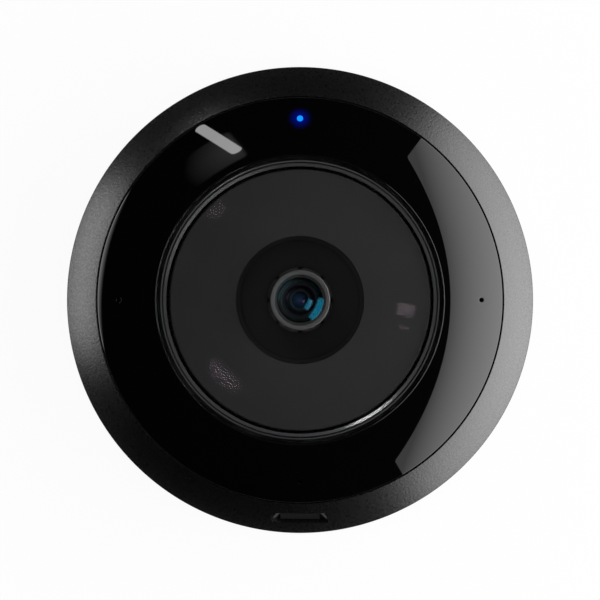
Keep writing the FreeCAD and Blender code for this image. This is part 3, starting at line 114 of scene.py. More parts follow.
# Height over the band, half the length towards the lens and away from it, and half the width
SLOT_ROWS = (
    (0.6, 7.9, 9.9, 1.79),
    (-0.28, 5.9, 7.9, 1.50),
    (-0.72, 4.9, 6.9, 1.35),
    (-2.4, 4.9, 6.1, 1.09),
)

# Bubble, the smoky ring in its wall, and the mask disc under it
BUBBLE_R = 35.6
BUBBLE_T = 1.6
BUBBLE_SPRING_Z = 28.9
BUBBLE_BLEND_R = 1.2
FLANGE_T = 1.6
RIM_IN_R = 33.97
RIM_OUT_R = 35.5
RIM_FOOT_Z = 26.8
RIM_TOP_Z = 28.2
RIM_ROUND = 0.2
RIM_BEVEL_R = 34.72
RIM_BEVEL = math.radians(28.0)
GROOVE_IN_R = 34.80
GROOVE_OUT_R = 35.10
GROOVE_DEPTH = 0.35
GROOVE_FLARE = 0.06
MASK_EDGE_R = 0.22

# Lens: the ring round its front glass
LENS_RING_IN_R = 6.45
LENS_RING_OUT_R = 7.62
LENS_RING_OUTER_ROUND = 0.28
LENS_RING_INNER_ROUND = 0.12
# Its glasses: the piece's name and finish, the arcs of its front and of its hollow back, and its steps
GLASS_SHAPES = {
    "front_glass": ("front_glass_coated", "coated_lens", 12.4, 6.0, 256),
    "second_glass": ("second_glass_clear", "clear_lens", 14.0, 5.0, 128),
    "third_glass": ("third_glass_clear", "clear_lens", 8.0, 0.0, 128),
    "rear_glass": ("rear_glass_clear", "clear_lens", 7.0, 0.0, 128),
}

# The hollow reaches out to the lesser of these shares, of the glass's radius and of the hollow's arc
HOLLOW_IN_GLASS = 0.75
HOLLOW_IN_ARC = 0.85

# Screws: the radius and height of the head, the radius of the shank, the thread's pitch, and how they stand
SCREWS = {
    "cover_screws": (2.2, 1.6, 1.25, 0.45, (0.0, 0.0, 0.0)),
    "frame_screws": (2.2, 1.6, 1.25, 0.45, (0.0, 0.0, 0.0)),
    "retainer_screws": (1.9, 1.3, 1.0, 0.40, (0.0, 0.0, 0.0)),
    "ring_board_screws": (1.5, 1.0, 0.8, 0.35, (0.0, 0.0, 0.0)),
    "sensor_screws": (1.9, 1.3, 1.0, 0.40, (math.pi, 0.0, 0.0)),
    "leaf_screws": (1.5, 1.0, 0.8, 0.35, (-math.pi / 2, 0.0, 0.0)),
}
HEAD_ROUND = 0.15
HEAD_CHAMFER = 0.05
SCREW_POINT = 0.3
SCREW_PLAY = 0.02
# Shares of the pitch: where the thread begins, how deep it is cut, and where its bottom begins and ends
THREAD_START = 0.5
THREAD_CUT = 0.55
THREAD_FLAT = (0.42, 0.55)
# Shares of the head's radius and height: the cross recess's arm, half its width, and its depth
CROSS_ARM = 0.58
CROSS_HALF = 0.13
CROSS_DEPTH = 0.55
# The recess as a cutter: how far it stands out of the head, and its size there and at its foot
CROSS_PROUD = 0.2
CROSS_MOUTH = 1.12
CROSS_FOOT = 0.55

# Meshes: steps of a turned piece, distances in metres at which points are one, and what counts as a corner
SEGMENTS = 320
RING_SEGMENTS = 256
DRILL_SEGMENTS = 48
SCREW_SEGMENTS = 40
WELD = 1e-7
CAD_WELD = 1e-6
ON_EDGE = 0.02 * MM
CAD_FLAT = math.radians(0.3)
CAD_CORNER = math.radians(32.0)
CORNER = math.radians(30.0)


def front_z(r, depth=0.0):
    """The height of the front's arc at radius r, or of the surface depth below it."""
    return ARC_Z0 + math.sqrt((FRONT_ARC_R - depth) ** 2 - (r - ARC_R0) ** 2)


class Outline:
    """A chain of points, radius and height in millimetres, to be turned round the lens axis."""

    def __init__(self, r, z):
        self.points = [(r, z)]

    def line(self, r, z):
        self.points.append((r, z))

    def arc(self, centre_r, centre_z, radius, from_deg, to_deg, steps):
        """Angles are counted from outwards towards the front."""
        for i in range(1, steps + 1):
            a = math.radians(from_deg + (to_deg - from_deg) * i / steps)
            self.points.append((centre_r + radius * math.cos(a), centre_z + radius * math.sin(a)))

    def front(self, r, depth=0.0, steps=60):
        """Follow the front's arc, or the surface depth below it, to radius r."""
        r_from = self.points[-1][0]
        for i in range(1, steps + 1):
            at = r_from + (r - r_from) * i / steps
            self.points.append((at, front_z(at, depth)))

    def closed(self):
        """The same outline, led back to where it began."""
        self.points.append(self.points[0])
        return self


# Node trees

def feed(tree, node, values):
    """Give a node's inputs their values in turn: another node's outputs, or plain ones."""
    for socket, value in zip(node.inputs, values):
        if isinstance(value, bpy.types.NodeSocket):
            tree.links.new(value, socket)
        else:
            socket.default_value = value


def maths(tree, operation, *values, clamp=False):
    """The output of a math node."""
    node = tree.nodes.new("ShaderNodeMath")
    node.operation = operation
    node.use_clamp = clamp
    feed(tree, node, values)
    return node.outputs[0]


def vector_maths(tree, operation, *values):
    """All outputs, since some operations answer with a vector and some with a value."""
    node = tree.nodes.new("ShaderNodeVectorMath")
    node.operation = operation
    feed(tree, node, values)
    return node.outputs


def ranged(tree, source, low, high, from_low, from_high, kind="LINEAR"):
    """A value carried over from one range to another, and held at its ends."""
    node = tree.nodes.new("ShaderNodeMapRange")
    node.interpolation_type = kind
    ends = {"From Min": from_low, "From Max": from_high, "To Min": low, "To Max": high}
    for key, value in ends.items():
        node.inputs[key].default_value = value
    tree.links.new(source, node.inputs["Value"])
    return node.outputs["Result"]


def piece_tree(name, **sockets):
    """An empty Geometry Nodes tree that takes the sockets given and makes geometry."""
    tree = bpy.data.node_groups.new(name, "GeometryNodeTree")
    tree.is_modifier = True
    for label, kind in sockets.items():
        tree.interface.new_socket(label, in_out="INPUT", socket_type="NodeSocket" + kind)
    tree.interface.new_socket("Result", in_out="OUTPUT", socket_type="NodeSocketGeometry")
    return tree


def painted_result(tree, geometry, finish):
    """The end of a tree: its geometry made real and given its finish."""
    add, link = tree.nodes.new, tree.links.new
    real = add("GeometryNodeRealizeInstances")
    link(geometry, real.inputs[0])
    painted = add("GeometryNodeSetMaterial")
    link(real.outputs[0], painted.inputs["Geometry"])
    link(finish, painted.inputs["Material"])
    link(painted.outputs[0], add("NodeGroupOutput").inputs[0])


def turning_tree():
    """Turns a chain of points round the Z axis in a number of steps."""
    tree = piece_tree("turned_piece", Outline="Geometry", Segments="Int", Finish="Material")
    add, link = tree.nodes.new, tree.links.new
    source = add("NodeGroupInput").outputs
    count = add("GeometryNodeAttributeDomainSize")
    link(source["Outline"], count.inputs[0])
    rows = count.outputs["Point Count"]
    grid = add("GeometryNodeMeshGrid")
    link(rows, grid.inputs["Vertices X"])
    link(maths(tree, "ADD", source["Segments"], 1), grid.inputs["Vertices Y"])
    place = add("GeometryNodeInputPosition").outputs[0]
    split = add("ShaderNodeSeparateXYZ")
    link(place, split.inputs[0])
    down = maths(tree, "ADD", split.outputs["X"], 0.5)
    row = maths(tree, "MULTIPLY", down, maths(tree, "SUBTRACT", rows, 1))
    angle = maths(tree, "MULTIPLY", maths(tree, "ADD", split.outputs["Y"], 0.5), math.tau)
    sample = add("GeometryNodeSampleIndex")
    sample.data_type = "FLOAT_VECTOR"
    link(source["Outline"], sample.inputs["Geometry"])
    link(place, sample.inputs["Value"])
    link(maths(tree, "ROUND", row), sample.inputs["Index"])
    outline = add("ShaderNodeSeparateXYZ")
    link(sample.outputs[0], outline.inputs[0])
    radius = outline.outputs["X"]
    point = add("ShaderNodeCombineXYZ")
    link(maths(tree, "MULTIPLY", radius, maths(tree, "COSINE", angle)), point.inputs["X"])
    link(maths(tree, "MULTIPLY", radius, maths(tree, "SINE", angle)), point.inputs["Y"])
    link(outline.outputs["Z"], point.inputs["Z"])
    shaped = add("GeometryNodeSetPosition")
    link(grid.outputs[0], shaped.inputs["Geometry"])
    link(point.outputs[0], shaped.inputs["Position"])
    merged = add("GeometryNodeMergeByDistance")
    link(shaped.outputs[0], merged.inputs["Geometry"])
    merged.inputs["Distance"].default_value = WELD
    painted_result(tree, merged.outputs[0], source["Finish"])
    return tree


def repeating_tree():
    """Stands a copy of one piece at each point of a layout, turned as the point says."""
    tree = piece_tree("repeated_piece", Layout="Geometry", Piece="Object", Finish="Material")
    add, link = tree.nodes.new, tree.links.new
    source = add("NodeGroupInput").outputs
    info = add("GeometryNodeObjectInfo")
    link(source["Piece"], info.inputs["Object"])
    turn = add("GeometryNodeInputNamedAttribute")
    turn.data_type = "FLOAT_VECTOR"
    turn.inputs["Name"].default_value = "turn"
    stand = add("GeometryNodeInstanceOnPoints")
    link(source["Layout"], stand.inputs["Points"])
    link(info.outputs["Geometry"], stand.inputs["Instance"])
    link(turn.outputs[0], stand.inputs["Rotation"])
    painted_result(tree, stand.outputs[0], source["Finish"])
    return tree


TURNING = turning_tree()
REPEATING = repeating_tree()


# Making the meshes

@contextmanager
def reworked(mesh):
    """A mesh opened for work on its points and faces, and written back after it."""
    work = bmesh.new()
    work.from_mesh(mesh)
    yield work
    work.to_mesh(mesh)
    work.free()


def smooth_but_corners(mesh, corner):
    """Shade smooth, with edges that turn by more than the corner's angle kept sharp."""
    mesh.shade_smooth()
    mesh.set_sharp_from_angle(angle=corner)


def finished_mesh(mesh):
    """Merge doubles, point the faces outwards, and keep only real corners sharp."""
    with reworked(mesh) as work:
        bmesh.ops.remove_doubles(work, verts=work.verts, dist=WELD)
        bmesh.ops.recalc_face_normals(work, faces=work.faces)
    smooth_but_corners(mesh, CORNER)


def new_object(name, mesh):
    """An object in the scene, at the origin."""
    obj = bpy.data.objects.new(name, mesh)
    bpy.context.scene.collection.objects.link(obj)
    return obj


def plain_copy(obj, name):
    """The evaluated object as a plain mesh, in place of the object itself."""
    bpy.context.view_layer.update()
    evaluated = obj.evaluated_get(bpy.context.evaluated_depsgraph_get())
    mesh = bpy.data.meshes.new_from_object(evaluated)
    bpy.data.objects.remove(obj)
    return new_object(name, mesh)


def built(source, name, tree, **values):
    """The plain piece that a tree makes of a source object."""
    modifier = source.modifiers.new("build", "NODES")
    modifier.node_group = tree
    for socket in tree.interface.items_tree:
        if socket.name in values:
            modifier[socket.identifier] = values[socket.name]
    return plain_copy(source, name)


def turned(name, outline, finish, segments=SEGMENTS):
    """A piece turned from its outline."""
    mesh = bpy.data.meshes.new(name + "_outline")
    points = [(r * MM, 0.0, z * MM) for r, z in outline.points]
    mesh.from_pydata(points, [(i, i + 1) for i in range(len(points) - 1)], [])
    piece = built(new_object(name + "_outline", mesh), name, TURNING, Segments=segments, Finish=finish)
    piece.data.materials.clear()
    piece.data.materials.append(finish)
    piece.data.polygons.foreach_set("material_index", [0] * len(piece.data.polygons))
    finished_mesh(piece.data)
    return piece


def repeated(name, piece, places, turn, finish):
    """Copies of a piece at places, all turned alike; the piece itself goes."""
    mesh = bpy.data.meshes.new(name + "_layout")
    mesh.from_pydata(places, [], [])
    for entry in mesh.attributes.new("turn", "FLOAT_VECTOR", "POINT").data:
        entry.vector = turn
    pieces = built(new_object(name + "_layout", mesh), name, REPEATING, Piece=piece, Finish=finish)
    bpy.data.objects.remove(piece)
    finished_mesh(pieces.data)
    return pieces


def cad_copy(node, name):
    """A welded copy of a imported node, smooth but for its real corners."""
    mesh = frame["nodes"][node].data.copy()
    if mesh.has_custom_normals:
        mesh.attributes.remove(mesh.attributes["custom_normal"])
    mesh.materials.clear()
    with reworked(mesh) as work:
        bmesh.ops.remove_doubles(work, verts=work.verts, dist=CAD_WELD)
        bmesh.ops.dissolve_limit(work, angle_limit=CAD_FLAT, verts=work.verts, edges=work.edges)
    smooth_but_corners(mesh, CAD_CORNER)
    return new_object(name, mesh)


def joined(first, *others):
    """Several meshes as one, with the first one's name."""
    work = bmesh.new()
    for obj in (first, *others):
        work.from_mesh(obj.data)
    work.to_mesh(first.data)
    work.free()
    for obj in others:
        bpy.data.objects.remove(obj)
    return first


def port_drill(radius, edge_r, angle):
    """A drill square to the front at an angle round the lens, whose head rounds the hole's edge."""
    o = Outline(0, -DRILL_DEPTH)
    o.line(radius, -DRILL_DEPTH)
    o.line(radius, -edge_r)
    o.arc(radius + edge_r, -edge_r, edge_r, 180, 90, 6)
    o.line(radius + edge_r, DRILL_HEAD)
    o.line(0, DRILL_HEAD)
    drill = turned("drill", o, None, DRILL_SEGMENTS)
    slope = math.asin((LIGHT_Y - ARC_R0) / FRONT_ARC_R)
    at = Vector((LIGHT_Y, 0, front_z(LIGHT_Y, -SKIN_PROUD))) * MM
    round_lens = Matrix.Rotation(math.radians(angle), 4, "Z")
    drill.data.transform(round_lens @ Matrix.Translation(at) @ Matrix.Rotation(slope, 4, "Y"))
    return drill


def drilled(piece, drills):
    """The piece with its drills cut out of it."""
    tool = joined(*drills)
    modifier = piece.modifiers.new("cut", "BOOLEAN")
    modifier.operation = "DIFFERENCE"
    modifier.solver = "EXACT"
    modifier.object = tool
    name = piece.name
    piece.name = name + "_blank"
    cut = plain_copy(piece, name)
    bpy.data.objects.remove(tool)
    finished_mesh(cut.data)
    return cut


# Finishes

class Finish:
    """A material and the nodes that make its pattern, on Object coordinates."""

    def __init__(self, name, colour=(0.5, 0.5, 0.5), **sockets):
        self.material = bpy.data.materials.new(name)
        self.material.use_nodes = True
        self.tree = self.material.node_tree
        self.shader = self.tree.nodes["Principled BSDF"]
        self.output = self.tree.nodes["Material Output"]
        self.shader.inputs["Base Color"].default_value = (*colour, 1.0)
        for socket, value in sockets.items():
            self.shader.inputs[socket.replace("_", " ")].default_value = value
        self.coords = self.add("ShaderNodeTexCoord").outputs["Object"]

    def add(self, kind, **values):
        """A new node with some of its settings."""
        node = self.tree.nodes.new(kind)
        for key, value in values.items():
            setattr(node, key, value)
        return node

    def link(self, source, target):
        self.tree.links.new(source, target)

    def noise(self, size_mm, detail=2.0, roughness=0.5, stretch=None):
        """Noise whose spots are about size_mm across, stretched along an axis if asked."""
        node = self.add("ShaderNodeTexNoise")
        node.inputs["Scale"].default_value = 1 / (size_mm * MM)
        node.inputs["Detail"].default_value = detail
        node.inputs["Roughness"].default_value = roughness
        coords = self.coords
        if stretch:
            mapping = self.add("ShaderNodeMapping")
            mapping.inputs["Scale"].default_value = stretch
            self.link(coords, mapping.inputs["Vector"])
            coords = mapping.outputs[0]
        self.link(coords, node.inputs["Vector"])
        return node.outputs["Fac"]

    def ranged(self, source, low, high, from_low=0.3, from_high=0.7, kind="LINEAR"):
        return ranged(self.tree, source, low, high, from_low, from_high, kind)

    def blended(self, factor, dark, light):
        """A colour between two, by a factor."""
        node = self.add("ShaderNodeMix", data_type="RGBA")
        node.inputs["A"].default_value = (*dark, 1.0)
        node.inputs["B"].default_value = (*light, 1.0)
        self.link(factor, node.inputs["Factor"])
        return node.outputs["Result"]

    def colour_spots(self, source, dark, light):
        colour = self.blended(self.ranged(source, 0.0, 1.0), dark, light)
        self.link(colour, self.shader.inputs["Base Color"])

    def rough_spots(self, source, low, high):
        self.link(self.ranged(source, low, high), self.shader.inputs["Roughness"])

    def bump(self, source, depth_mm, strength):
        node = self.add("ShaderNodeBump")
        node.inputs["Distance"].default_value = depth_mm * MM
        node.inputs["Strength"].default_value = strength
        self.link(source, node.inputs["Height"])
        self.link(node.outputs[0], self.shader.inputs["Normal"])

    def glows(self, colour, strength):
        """Give off light of a colour, of a strength that is a number or another node's output."""
        self.shader.inputs["Emission Color"].default_value = (*colour, 1.0)
        if isinstance(strength, float):
            self.shader.inputs["Emission Strength"].default_value = strength
        else:
            self.link(strength, self.shader.inputs["Emission Strength"])

    def shows(self, factor, first, second):
        """Let the surface go from one shader to another by a factor."""
        mix = self.add("ShaderNodeMixShader")
        feed(self.tree, mix, (factor, first, second))
        self.link(mix.outputs[0], self.output.inputs["Surface"])

    def lets_lamps_through(self):
        """Lamps light what is behind the glass, and sight still bends in it."""
        path = self.add("ShaderNodeLightPath")
        clear = self.add("ShaderNodeBsdfTransparent")
        self.shows(path.outputs["Is Shadow Ray"], self.shader.outputs[0], clear.outputs[0])


def shades(colour, spread):
    """A colour a little darker, and a little lighter."""
    return [c * (1 - spread) for c in colour], [min(1.0, c * (1 + spread)) for c in colour]


def moulded(name, colour, roughness, grain_mm=0.35, depth_mm=0.01):
    """Moulded plastic: a spark-eroded grain with slightly uneven gloss."""
    f = Finish(name, colour, IOR=1.5)
    fine = f.noise(grain_mm, detail=3.0)
    f.colour_spots(f.noise(size_mm=14.0), *shades(colour, spread=0.1))
    f.rough_spots(fine, low=roughness - 0.05, high=roughness + 0.05)
    f.bump(fine, depth_mm, strength=0.5)
    return f


def metal(name, colour, roughness, brush=None):
    """Metal with a brushed or rolled direction, or tumbled when brush is left out."""
    f = Finish(name, colour, Metallic=1.0)
    lines = f.noise(size_mm=0.5, detail=3.0, stretch=brush)
    f.colour_spots(f.noise(size_mm=9.0, detail=3.0), *shades(colour, spread=0.08))
    f.rough_spots(lines, low=roughness - 0.07, high=roughness + 0.07)
    f.bump(lines, depth_mm=0.004, strength=0.4)
    return f


def glass(name, colour, ior, tint):
    """Clear glass whose coating tints its reflections."""
    f = Finish(name, colour, Transmission_Weight=1.0, IOR=ior, Roughness=0.0)
    f.shader.inputs["Specular Tint"].default_value = (*tint, 1.0)
    f.rough_spots(f.noise(size_mm=20.0), low=0.0, high=0.012)
    f.lets_lamps_through()
    return f


def satin_black():
    """Powder coat: fine orange-peel grain on black, satin."""
    f = Finish("satin_black", (0.0020, 0.0020, 0.0021), IOR=1.72)
    grain = f.noise(size_mm=0.62, detail=3.0, roughness=0.6)
    f.colour_spots(f.noise(size_mm=11.0), dark=(0.0017, 0.0017, 0.0018), light=(0.0024, 0.0024, 0.0025))
    f.rough_spots(grain, low=0.25, high=0.33)
    f.bump(grain, depth_mm=0.045, strength=0.8)
    return f


def gloss_black():
    """Polished black moulding, with a blue glow painted round the status light's hole: the moulding itself
    gives off light there.
    """
    f = Finish("gloss_black", (0.0010, 0.0010, 0.0011), IOR=1.5)
    f.rough_spots(f.noise(size_mm=24.0, detail=3.0), low=0.012, high=0.03)
    # Painted glow: blue light given off by the moulding itself round the status light's hole, fading
    # outwards
    light_at = (0.0, LIGHT_Y * MM, front_z(LIGHT_Y) * MM)
    away = vector_maths(f.tree, "DISTANCE", f.coords, light_at)["Value"]
    painted_glow_share = f.ranged(away, 1.0, 0.0, PAINTED_GLOW_IN_R * MM, PAINTED_GLOW_OUT_R * MM, "SMOOTHERSTEP")
    painted_glow_fade = maths(f.tree, "POWER", painted_glow_share, PAINTED_GLOW_FALL)
    f.glows((0.0, 0.02, 1.0), maths(f.tree, "MULTIPLY", painted_glow_fade, PAINTED_GLOW_STRENGTH))
    return f


def clear_bubble():
    """Clear coated moulding: it hardly mirrors but at its edge, and does so faintly pink."""
    f = Finish("clear_bubble")
    edge = f.add("ShaderNodeLayerWeight")
    edge.inputs["Blend"].default_value = 0.5
    shine = maths(f.tree, "POWER", edge.outputs["Facing"], 8.0)
    thick = maths(f.tree, "POWER", edge.outputs["Facing"], 3.0)
    clear = f.add("ShaderNodeBsdfTransparent")
    through = f.blended(thick, dark=(0.978, 0.980, 0.982), light=(0.70, 0.74, 0.76))
    f.link(through, clear.inputs["Color"])
    mirror = f.add("ShaderNodeBsdfGlossy")
    mirror.inputs["Color"].default_value = (1.0, 0.80, 0.90, 1.0)
    f.link(f.ranged(f.noise(size_mm=18.0), low=0.01, high=0.03), mirror.inputs["Roughness"])
    share = f.ranged(shine, low=0.002, high=0.5, from_low=0.0, from_high=1.0)
    f.shows(share, clear.outputs[0], mirror.outputs[0])
    f.tree.nodes.remove(f.shader)
    return f


def status_blue():
    """The lit end of the light pipe."""
    f = Finish("light_blue", (0.0, 0.19, 0.97), Roughness=0.35)
    f.glows((0.0, 0.18, 1.0), 1.0)
    return f


def pale_floor():
    """A white card, lit evenly for sight; for mirrors it greys away from the object."""
    f = Finish("pale_floor", (0.86, 0.86, 0.86), Roughness=0.9, Specular_IOR_Level=0.0)
    path = f.add("ShaderNodeLightPath").outputs
    away = vector_maths(f.tree, "LENGTH", f.coords)["Value"]
    seen = maths(f.tree, "ADD", path["Is Camera Ray"], path["Is Glossy Ray"], clamp=True)
    seen = maths(f.tree, "ADD", seen, path["Is Transmission Ray"], clamp=True)
    evenly = f.ranged(away, low=0.945, high=1.0, from_low=0.08, from_high=0.30)
    mirrored = f.ranged(away, low=1.0, high=0.06, from_low=0.07, from_high=0.20)
    white = f.add("ShaderNodeEmission")
    f.link(maths(f.tree, "MAXIMUM", mirrored, path["Is Camera Ray"]), white.inputs["Strength"])
    f.shows(maths(f.tree, "MULTIPLY", seen, evenly), f.shader.outputs[0], white.outputs[0])
    return f


# Colour and roughness, then the grain's size and depth where they differ
MOULDED = {
    "rim_smoke": ((0.070, 0.070, 0.072), 0.16, 0.5, 0.002),
    "mask_black": ((0.0107, 0.0105, 0.0109), 0.75, 0.3, 0.008),
    "well_black": ((0.0160, 0.0144, 0.0156), 0.65, 0.3, 0.008),
    "ring_grey": ((0.052, 0.051, 0.051), 0.42, 0.25, 0.004),
    # barrel_black and button_black are near black for painted shade: the gap round the lens ring, the rim's
    # groove and the slot read dark
    "barrel_black": ((0.005, 0.005, 0.005), 0.6, 0.25, 0.006),
    "button_black": ((0.003, 0.003, 0.003), 0.55, 0.3, 0.006),
    "black_anodised": ((0.052, 0.050, 0.050), 0.50, 0.25, 0.006),
    "moulded_black": ((0.018, 0.018, 0.019), 0.5),
    "board_green": ((0.020, 0.115, 0.050), 0.38, 1.2, 0.012),
    "chip_black": ((0.022, 0.022, 0.024), 0.55, 0.2, 0.006),
    "ferrite": ((0.050, 0.050, 0.052), 0.7, 0.4, 0.02),
    "connector_white": ((0.60, 0.58, 0.52), 0.42),
    "flex_amber": ((0.36, 0.16, 0.04), 0.35, 2.0, 0.01),
    "flex_black": ((0.018, 0.017, 0.016), 0.45, 2.0, 0.01),
    "silicone_grey": ((0.075, 0.075, 0.078), 0.8, 0.6, 0.01),
    "pad_blue": ((0.24, 0.33, 0.44), 0.85, 0.5, 0.02),
    "foam_black": ((0.018, 0.018, 0.018), 0.95, 0.25, 0.06),
}

# Colour and roughness, then the stretch of the brushed lines
METALS = {
    "plate_steel": ((0.60, 0.61, 0.62), 0.38, (14.0, 1.0, 1.0)),
    "spring_steel": ((0.46, 0.45, 0.44), 0.30, (1.0, 1.0, 10.0)),
    "screw_steel": ((0.50, 0.50, 0.51), 0.32),
    "tinned_shield": ((0.66, 0.66, 0.67), 0.30, (1.0, 1.0, 9.0)),
    "gilt": ((0.75, 0.55, 0.20), 0.22),
    "copper_coil": ((0.52, 0.24, 0.11), 0.35, (1.0, 10.0, 1.0)),
    "can_aluminium": ((0.70, 0.71, 0.72), 0.28, (1.0, 1.0, 8.0)),
    "sensor_silicon": ((0.10, 0.09, 0.12), 0.12),
}

# Colour, index of refraction, and the tint of the reflections
COATED = {
    "coated_lens": ((0.70, 0.86, 0.88), 1.62, (0.015, 0.60, 1.0)),
    "clear_lens": ((0.86, 0.93, 0.93), 1.60, (0.75, 0.25, 0.95)),
    "filter_red": ((0.45, 0.16, 0.20), 1.52, (0.9, 0.4, 0.5)),
}

FINISHES = {
    "satin_black": satin_black(),
    "gloss_black": gloss_black(),
    "clear_bubble": clear_bubble(),
    "light_blue": status_blue(),
}
for make, table in ((moulded, MOULDED), (metal, METALS), (glass, COATED)):
    for name, values in table.items():
        FINISHES[name] = make(name, *values)


def material(slot):
    """The material of a finish."""
    return FINISHES[slot].material


# The pieces that show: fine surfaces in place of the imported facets

def cover_skin():
    """The gloss cover's front, a fine closed skin with a bead at its lip and its ports drilled."""
    lip_r = OPENING_R + LIP_ROUND * (1 - math.sin(FRONT_ARC_SLOPE))
    lip_z = front_z(lip_r) - LIP_ROUND * math.cos(FRONT_ARC_SLOPE) - LIP_DEPTH
    slope = math.asin((COVER_OUT_R - EDGE_ROUND - ARC_R0) / FRONT_ARC_R)
    seam_r = COVER_OUT_R - EDGE_ROUND * (1 - math.sin(slope))
    seam_z = front_z(seam_r) - EDGE_ROUND * math.cos(slope)
    bead_z = front_z(BEAD_TOP_R) + BEAD_PROUD
    bead_end = BEAD_TOP_R + BEAD_OUTER * math.cos(math.radians(BEAD_END_DEG)) + BEAD_TOE
    o = Outline(BEAD_TOP_R - BEAD_INNER, lip_z)
    o.line(BEAD_TOP_R - BEAD_INNER, bead_z - BEAD_INNER)
    o.arc(BEAD_TOP_R, bead_z - BEAD_INNER, BEAD_INNER, 180, 90, 12)
    o.arc(BEAD_TOP_R, bead_z - BEAD_OUTER, BEAD_OUTER, 90, BEAD_END_DEG, 14)
    o.line(bead_end, front_z(bead_end, -SKIN_PROUD))
    o.front(seam_r, -SKIN_PROUD, 90)
    o.arc(COVER_OUT_R - EDGE_ROUND, seam_z, EDGE_ROUND, 90 - math.degrees(slope), 0, 8)
    o.line(COVER_OUT_R, SKIRT_Z + SKIRT_OVERLAP)
    o.line(COVER_OUT_R - SKIN_T, SKIRT_Z + SKIRT_OVERLAP)
    o.line(COVER_OUT_R - SKIN_T, front_z(COVER_OUT_R - SKIN_T, SKIN_T))
    o.front(OPENING_R + LIP_ROUND, SKIN_T, 40)
    o.line(OPENING_R + LIP_ROUND, lip_z)
    skin = turned("cover_skin", o.closed(), material("gloss_black"))
    drills = [port_drill(PORT_R, PORT_EDGE_R, angle) for angle in PORT_ANGLES]
    drills.append(port_drill(LIGHT_HOLE_R, LIGHT_EDGE_R, LIGHT_ANGLE))
    return drilled(skin, drills)


def front_cover():
    """The gloss cover under its fine skin."""
    base = cad_copy("front_cover", "front_cover_shell")
    base.data.materials.append(material("gloss_black"))
    return joined(base, cover_skin())


def bubble():
    """The clear coated bubble."""
    rise = BUBBLE_TOP_Z - BUBBLE_SPRING_Z
    cap_r = (BUBBLE_R ** 2 + rise ** 2) / (2 * rise)
    centre_z = BUBBLE_TOP_Z - cap_r
    inner_r = BUBBLE_R - BUBBLE_T
    inner_cap = cap_r - BUBBLE_T
    blend_r = BUBBLE_R - BUBBLE_BLEND_R
    blend_z = centre_z + math.sqrt((cap_r - BUBBLE_BLEND_R) ** 2 - blend_r ** 2)
    tilt = math.degrees(math.atan2(blend_z - centre_z, blend_r))
    inner_tilt = math.degrees(math.acos(inner_r / inner_cap))
    o = Outline(inner_r, FLANGE_Z)
    o.line(FLANGE_R, FLANGE_Z)
    o.line(FLANGE_R, FLANGE_Z + FLANGE_T)
    o.line(BUBBLE_R, FLANGE_Z + FLANGE_T)
    o.line(BUBBLE_R, blend_z)
    o.arc(blend_r, blend_z, BUBBLE_BLEND_R, 0, tilt, 12)
    o.arc(0, centre_z, cap_r, tilt, 90, 60)
    o.line(0, BUBBLE_TOP_Z - BUBBLE_T)
    o.arc(0, centre_z, inner_cap, 90, inner_tilt, 60)
    return turned("bubble_clear", o.closed(), material("clear_bubble"))


def bubble_rim():
    """The smoky ring in the bubble's wall, with a bevel that faces the lens and a groove whose faces take a
    near-black finish, painted shade in the groove.
    """
    o = Outline(RIM_IN_R, RIM_FOOT_Z)
    o.line(RIM_OUT_R, RIM_FOOT_Z)
    o.line(RIM_OUT_R, RIM_TOP_Z - RIM_ROUND)
    o.arc(RIM_OUT_R - RIM_ROUND, RIM_TOP_Z - RIM_ROUND, RIM_ROUND, 0, 90, 6)
    o.line(GROOVE_OUT_R + GROOVE_FLARE, RIM_TOP_Z)
    o.line(GROOVE_OUT_R, RIM_TOP_Z - GROOVE_DEPTH)
    o.line(GROOVE_IN_R, RIM_TOP_Z - GROOVE_DEPTH)
    o.line(RIM_BEVEL_R, RIM_TOP_Z)
    o.line(RIM_IN_R, RIM_TOP_Z - (RIM_BEVEL_R - RIM_IN_R) * math.tan(RIM_BEVEL))
    ring = turned("bubble_rim", o.closed(), material("rim_smoke"))
    # Painted shade: the groove's faces take a near-black finish, darker than the ring round them
    ring.data.materials.append(material("barrel_black"))
    for face in ring.data.polygons:
        if GROOVE_IN_R < face.center.xy.length / MM < GROOVE_OUT_R + GROOVE_FLARE:
            face.material_index = 1
    return ring


def slot_cutter():
    """The slot's mouth, flared at its ends, square to the band at 6 o'clock."""
    corners = []
    for z, inner, outer, half in SLOT_ROWS:
        corners += [(-outer, -half, z), (outer, -half, z), (inner, half, z), (-inner, half, z)]
    faces = [(0, 1, 2, 3)]
    for row in range(len(SLOT_ROWS) - 1):
        at = 4 * row
        faces += [(at + i, at + 4 + i, at + 4 + (i + 1) % 4, at + (i + 1) % 4) for i in range(4)]
    last = 4 * (len(SLOT_ROWS) - 1)
    faces.append((last + 3, last + 2, last + 1, last))
    mesh = bpy.data.meshes.new("slot_cutter")
    mesh.from_pydata([Vector(c) * MM for c in corners], [], faces)
    tilt = math.asin((SLOT_R - ARC_R0) / FRONT_ARC_R)
    at_slot = Matrix.Translation(Vector((0, -SLOT_R, front_z(SLOT_R))) * MM)
    mesh.transform(at_slot @ Matrix.Rotation(tilt, 4, "X"))
    with reworked(mesh) as work:
        bmesh.ops.recalc_face_normals(work, faces=work.faces)
    return new_object("slot_cutter", mesh)


